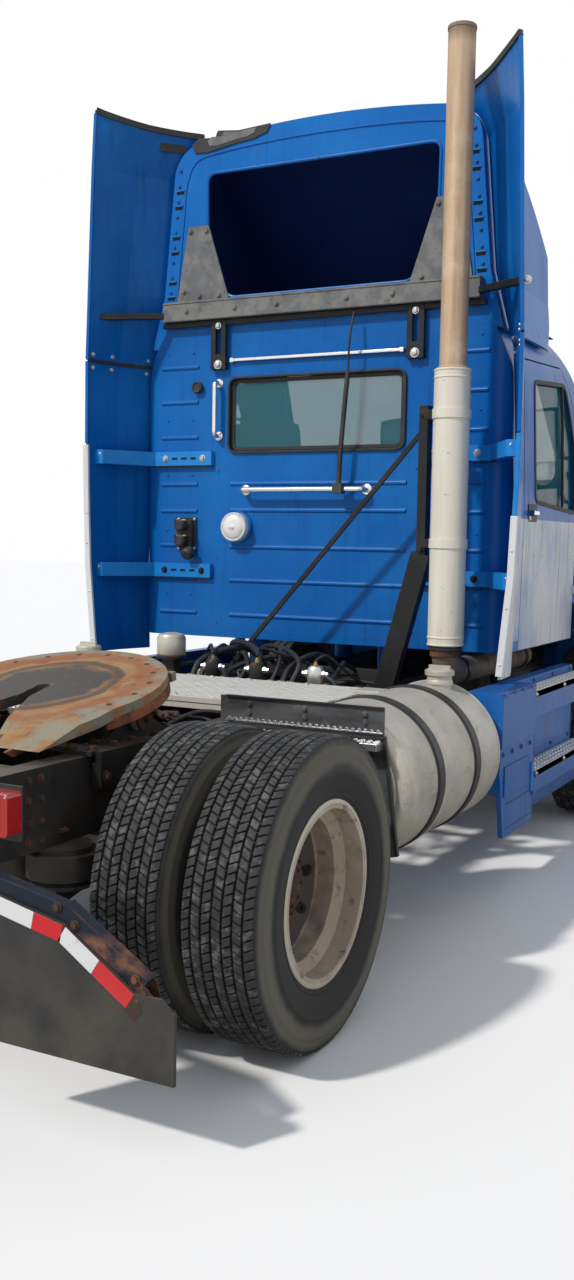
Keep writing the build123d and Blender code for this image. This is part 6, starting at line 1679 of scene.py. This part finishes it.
def addBlade(s, a):
    c, tilt = vec(*engine["fan"]), vec(0, 0.012, 0)
    u, v = vec(math.cos(a), 0, math.sin(a)), vec(-math.sin(a), 0, math.cos(a))
    root, tip = c + u * engine["bladeRoot"], c + u * engine["bladeTip"]
    twist = vec(0, 0.02, 0)
    pts = [root - v * 0.02 + tilt, root + v * 0.02 - tilt, tip + v * 0.045 - twist, tip - v * 0.045 + twist]
    edges = [(0, 4, 5, 1), (1, 5, 6, 2), (2, 6, 7, 3), (3, 7, 4, 0)]
    s.put(pts + [p + vec(0, 0.003, 0) for p in pts], [(0, 1, 2, 3), (7, 6, 5, 4), *edges])


def addEngineTop(s):
    s.plate(roundedBox(-0.15, 0.15, -2.5, -1.8, 0.03), 1.56, 1.615)
    s.plate(roundedBox(-0.12, 0.12, -2.46, -1.84, 0.03), 1.615, 1.632)
    for k in range(engine["coverBolts"]):
        s.use("aluminium").box(-0.11, 0.11, -2.42 + k * 0.088, -2.412 + k * 0.088, 1.632, 1.638)
        s.use("steel").bolts(grid((-0.14, 0.14), -2.47 + k * 0.105, 1.615), up, 0.008, 0.008)
    s.use("brass").lathe([(0.03, 0), (0.03, 0.02), (0.024, 0.026), (0, 0.026)], (0.07, -2.3, 1.636), up, 16)


def addTurbo(s):
    s.use("rustySteel")
    for k in range(engine["ports"]):
        y = -2.46 + k * 0.12
        s.hose([(-0.325, y, 1.44), (-0.37, y, 1.44), (-0.4, y + 0.02, 1.42)], 0.024, 10)
    s.tube([(-0.405, -2.48, 1.42), (-0.405, -1.84, 1.42)], 0.032, 14)
    hot = [(0.02, -0.06), (0.075, -0.05), (0.085, -0.01), (0.085, 0.02), (0.05, 0.035), (0.03, 0.06)]
    cold = [(0.03, 0.02), (0.078, 0.03), (0.088, 0.06), (0.07, 0.095), (0.045, 0.1), (0.045, 0.13)]
    s.lathe(hot, engine["turbo"], rear, 28)
    s.use("aluminium").lathe(cold, engine["turbo"], rear, 28)
    s.use("rustySteel").hose([(-0.405, -2.12, 1.4), (-0.43, -2.14, 1.34), (-0.44, -2.14, 1.3)], 0.03, 12)
    s.hose([(-0.44, -2.18, 1.26), (-0.43, -2.02, 1.16), (-0.36, -1.85, 1.08),
            (-0.3, -1.72, 1.025)], 0.048, 16)
    s.use("hose").hose(engine["intake"], 0.055, 18)
    can = [(0, -0.21), (0.11, -0.21), (0.125, -0.19), (0.125, 0.19), (0.11, 0.21), (0, 0.21)]
    x, y, z = engine["cleaner"]
    s.use("chassisClean").lathe(can, (x, y, z), rear, 36)
    s.use("steel")
    for d in (-0.15, 0.12):
        s.pipe((x, y + d, z), rear, 0.129, 0.124, 0.024, 36)


def addCooling(s):
    s.use("seal")
    for hose in engine["coolantHoses"]:
        s.hose(hose, 0.034, 14)
    s.use("plastic").pipe((0, -2.716, 1.19), rear, 0.272, 0.262, 0.07, 48)
    for a in turns(engine["blades"]):
        addBlade(s, a)
    s.use("chassis").lathe([(0, 0), (0.062, 0), (0.062, 0.06), (0, 0.06)], (0, -2.69, 1.19), rear, 28)
    s.use("seal").pipe((0.0, -2.655, 1.05), rear, 0.085, 0.075, 0.022, 28)
    s.pipe((0.24, -2.655, 1.3), rear, 0.05, 0.042, 0.022, 24)
    pulley = [(0, 0), (0.065, 0), (0.072, 0.02), (0.072, 0.11), (0.05, 0.13), (0, 0.13)]
    s.use("aluminium").lathe(pulley, (0.4, -2.6, 1.3), rear, 28)


def addEngineSide(s):
    s.use("chassis")
    for k in range(engine["filters"]):
        filterCan = [(0.045, 0), (0.05, 0.01), (0.05, 0.1), (0.03, 0.115), (0, 0.115)]
        s.lathe(filterCan, (0.375, -2.42 + k * 0.13, 1.08), down, 20)
    for k in range(engine["ports"]):
        y0, y1 = -2.45 + k * 0.115, -2.3 + k * 0.03
        s.hose([(0.335, y0, 1.5), (0.36, y0, 1.46), (0.365, y1, 1.36), (0.345, y1 + 0.05, 1.28)], 0.005, 6)
    s.box(0.332, 0.4, -2.3, -2.05, 1.18, 1.32).use("steel")
    for x, axis in ((-0.331, right), (0.331, left)):
        s.bolts(grid(x, (-2.6, -2.35, -2.1, -1.85, -1.72), (1.02, 1.24, 1.5)), axis, 0.01, 0.009)
    s.use("chassis")
    for z in (1.06, 1.3):
        s.box(-0.334, 0.334, -2.632, -1.688, z, z + 0.008)


def makeEngineParts():
    s = Shape("aluminium")
    addEngineTop(s)
    addTurbo(s)
    addCooling(s)
    addEngineSide(s)
    s.use("hose")
    for k in range(engine["radiatorFins"]):
        x = -0.47 + k * engine["finPitch"]
        s.box(x, x + 0.008, -2.7935, -2.7895, 0.96, 1.42)
    s.make("engine_details", "chassis", "cast_steel")


makeEngineParts()
print("engine ready")

seat = {
    "x": 0.48, "crown": 0.018, "pull": 0.02, "steps": (26, 22, 7), "backLean": 80.0,
    "cushion": (0.49, 0.47, 0.125), "cushionAt": (-0.66, 1.622),
    "cushionChannels": (-0.55, -0.18, 0.18, 0.55),
    "back": (0.47, 0.62, 0.1), "backAt": (-0.35, 2.0), "backChannels": (-0.6, -0.3, 0.0, 0.3, 0.6),
}


def cushionPoint(size, channels, u, v, w):  # crowned faces, sides that pull in, sewn channels across the top
    sx, sy, sz = size
    round4 = (1 - abs(u) ** 6 * 0.1) * (1 - abs(v) ** 6 * 0.1)
    x = u * sx / 2 * (1 - 0.05 * abs(v) ** 4) * (1 - 0.06 * abs(w) ** 4)
    x -= u * seat["pull"] * (1 - v * v) * (1 - w * w) * 0.4
    y = v * sy / 2 * (1 - 0.05 * abs(u) ** 4) * (1 - 0.06 * abs(w) ** 4)
    swell = seat["crown"] * (1 - u ** 4) * (1 - v ** 4)
    z = w * sz / 2 * round4 + swell * max(w, 0)
    if w > 0.9:
        for c in channels:
            z -= 0.012 * math.exp(-(((v - c) / 0.045) ** 2)) * (1 - abs(u) ** 8)
        z -= 0.01 * math.exp(-(((abs(u) - 0.68) / 0.05) ** 2)) * (1 - abs(v) ** 8)
    return x, y, z


def cushionBlock(size, channels):  # a padded block about its own middle
    counts, index, verts, faces = seat["steps"], {}, [], []

    def point(*spot):
        if spot not in index:
            index[spot] = len(verts)
            verts.append(cushionPoint(size, channels, *(2 * i / n - 1 for i, n in zip(spot, counts))))
        return index[spot]

    for fixed, a, b in ((2, 0, 1), (0, 1, 2), (1, 2, 0)):  # the two faces across each axis
        for i in range(counts[a]):
            for j in range(counts[b]):
                for end in (counts[fixed], 0):
                    quad = []
                    for di, dj in corners(0, 1, 0, 1):
                        spot = [end] * 3
                        spot[a], spot[b] = i + di, j + dj
                        quad.append(point(*spot))
                    faces.append(tuple(quad if end else quad[::-1]))
    return verts, faces


def makePad(name, size, channels, place):
    s = Shape("cloth")
    s.place = place
    s.put(*cushionBlock(size, channels))
    x, y = size[0] / 2 - 0.012, size[1] / 2 - 0.012
    piping = [(*p, size[2] / 2 - 0.022) for p in roundedBox(-x, x, -y, y, 0.05, 5)]
    s.use("vinyl").tube(piping, 0.005, 8, True)
    o = s.make(name, "chassis", "seat_cloth", 0.0, 60)
    return o


def makeSeatFrame(side, x):
    s = Shape("plastic")
    s.plate([(-0.86, 1.172), (-0.46, 1.172), (-0.5, 1.5), (-0.82, 1.5)], x - 0.165, x + 0.165, "x")
    s.use("vinyl")
    for k in range(7):
        z = 1.2 + k * 0.042
        s.box(x - 0.172, x + 0.172, -0.862, -0.458, z, z + 0.016)
    s.use("steel").box(x - 0.22, x + 0.22, -0.88, -0.44, 1.512, 1.54)
    s.box(x - 0.235, x - 0.215, -0.62, -0.42, 1.53, 1.72).box(x + 0.215, x + 0.235, -0.62, -0.42, 1.53, 1.72)
    s.use("plastic").lathe([(0.035, 0), (0.03, 0.012), (0, 0.014)], (x + 0.235, -0.5, 1.66), left, 20)
    s.hose([(x + 0.23, -0.8, 1.54), (x + 0.245, -0.83, 1.56), (x + 0.245, -0.87, 1.6)], 0.008)
    belt = [(x + 0.2, -0.285, 2.26), (x + 0.15, -0.335, 2.0), (x - 0.22, -0.5, 1.705)]
    s.use("seal").strip(belt, 0.045, 0.003, (0, -0.9, 0.2))
    s.use("tapeRed").box(x - 0.245, x - 0.215, -0.5, -0.455, 1.69, 1.75)
    s.make("seat_frame_" + side, "chassis", "seat_cloth", 0.002)


def makeSeats():
    c, pads = seat, []
    lean = Matrix.Rotation(math.radians(c["backLean"]), 4, "X")
    for side, sign in sides:
        x = sign * c["x"]
        level, leant = (Matrix.Translation((x, *c[k])) for k in ("cushionAt", "backAt"))
        pads.append(makePad("seat_cushion_" + side, c["cushion"], c["cushionChannels"], level))
        pads.append(makePad("seat_backrest_" + side, c["back"], c["backChannels"], leant @ lean))
        makeSeatFrame(side, x)
    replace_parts(pads[0], "seats")


makeSeats()

cabin = {
    "dials": ((0.36, 0.055), (0.48, 0.055), (0.6, 0.055), (0.27, 0.033), (0.69, 0.033)),  # x and radius
    "dialsAt": (-1.29, 1.9), "dashOut": (0, 0.78, 0.625), "dashUp": (0, -0.625, 0.78),
    "vents": (-0.55, -0.1, 0.12), "switches": 5, "visors": (-0.42, 0.42),
    "backLining": ((1.18, 2.09, -0.98, 0.98), (2.54, 2.76, -0.92, 0.92), (2.09, 2.54, -0.98, -0.53),
                   (2.09, 2.54, 0.53, 0.98)),  # (low, high, right, left)
}


def addDashboard(s):
    n, rise = vec(*cabin["dashOut"]), vec(*cabin["dashUp"])
    for x, r in cabin["dials"]:
        at = vec(x, *cabin["dialsAt"])
        s.use("bright").lathe([(r + 0.005, 0.0), (r + 0.005, 0.006), (r, 0.007)], at, n, 28)
        s.use("blackAndHoleShade").lathe([(r, 0.003), (0, 0.003)], at, n, 28)
        hand = at + n * 0.0045
        s.use("tapeWhite").strip([hand, hand + (vec(1, 0, 0) + rise) * r * 0.5], 0.003, 0.0015, n)
    s.use("blackAndHoleShade")
    for x in cabin["vents"]:
        for k in range(4):
            y, z = -1.262 - k * 0.018, 1.868 + k * 0.0225
            s.strip([(x - 0.06, y, z), (x + 0.06, y, z)], 0.01, 0.004, n)
    s.use("plastic").box(-0.72, -0.35, -1.262, -1.252, 1.7, 1.705)
    for k in range(cabin["switches"]):
        x = -0.02 + k * 0.045
        s.use("blackAndHoleShade").box(x, x + 0.03, -1.258, -1.252, 1.8, 1.845)


def makeInterior():
    s = Shape("vinyl")
    s.box(-0.98, 0.98, -1.53, -0.06, 1.163, 1.17)
    s.box(-0.3, 0.3, -1.52, -1.05, 1.17, 1.42)
    s.use("plastic").box(-0.12, 0.12, -1.2, -0.3, 1.17, 1.36)
    s.use("seal").lathe([(0.075, 0), (0.05, 0.05), (0.03, 0.09), (0.022, 0.11)], (0.02, -0.92, 1.36), up)
    s.use("steel").hose([(0.02, -0.92, 1.4), (0.035, -0.9, 1.56), (0.05, -0.84, 1.72)], 0.01, 10)
    s.use("plastic").ball((0.052, -0.835, 1.745), 0.03, 1.2)
    addDashboard(s)
    s.use("bright").lathe([(0.02, 0), (0.02, 0.008), (0, 0.01)], (0.48, -1.028, 1.99), (0, 0.84, 0.54), 24)
    s.use("seal").box(-0.95, 0.95, -1.05, -0.1, 2.79, 2.795)
    s.use("vinyl")
    for x in cabin["visors"]:
        s.plate(roundedBox(x - 0.24, x + 0.24, -1.16, -1.0, 0.03), 2.7, 2.712)
    for z0, z1, x0, x1 in cabin["backLining"]:
        s.box(x0, x1, -0.052, -0.044, z0, z1)
    s.make("cab_trim", "chassis", "black_plastic", 0.0015)


makeInterior()
print("interior ready")

studio = {"sunPower": 2.25, "sunHeight": 46, "sunTurn": 152, "sunAngle": 0.06, "sunColour": (1.0, 0.96, 0.9),
          "skyPower": 0.58, "skyColour": (0.77, 0.82, 0.9, 1), "floor": (0.55, 0.54, 0.52),
          "floorSeen": (0.97, 0.97, 0.97), "floorHalf": 60}


def makeFloor():
    me, half = bpy.data.meshes.new("floor"), studio["floorHalf"]
    me.from_pydata([(x, y, 0) for x, y in corners(-half, half, -half, half)], [], [(0, 1, 2, 3)])
    o = bpy.data.objects.new("floor", me)
    bpy.context.collection.objects.link(o)
    pale = material("floorPale", studio["floor"], 0.9, 0.0, radius=0)
    t = pale.node_tree
    seen = node(t, "LightPath").outputs["Is Camera Ray"]
    colour = blendIn(t, seen, studio["floor"], studio["floorSeen"])
    t.links.new(colour, t.nodes["Principled BSDF"].inputs["Base Color"])
    me.materials.append(pale)


def makeSky():
    world = bpy.data.worlds.new("studio")
    bpy.context.scene.world = world
    world.use_nodes = True
    t = world.node_tree
    ray = node(t, "LightPath").outputs
    lit = calc(t, "MAXIMUM", ray["Is Camera Ray"], ray["Is Glossy Ray"])
    lit = calc(t, "MAXIMUM", lit, ray["Is Transmission Ray"])
    soft = t.nodes["Background"]
    soft.inputs["Color"].default_value = studio["skyColour"]
    soft.inputs["Strength"].default_value = studio["skyPower"]
    white = node(t, "Background", {"Color": (1, 1, 1, 1), "Strength": 1.0})
    mix = node(t, "MixShader", {0: lit, 1: soft.outputs[0], 2: white.outputs[0]})
    t.links.new(mix.outputs[0], t.nodes["World Output"].inputs["Surface"])


def makeSun():
    sun = bpy.data.objects.new("sun", bpy.data.lights.new("sun", "SUN"))
    sun.data.energy, sun.data.angle = studio["sunPower"], studio["sunAngle"]
    sun.data.color = studio["sunColour"]
    sun.rotation_euler = (math.radians(90 - studio["sunHeight"]), 0, math.radians(studio["sunTurn"]))
    bpy.context.collection.objects.link(sun)


makeFloor()
makeSky()
makeSun()
bpy.context.scene.view_settings.view_transform = "Standard"
print("studio ready")
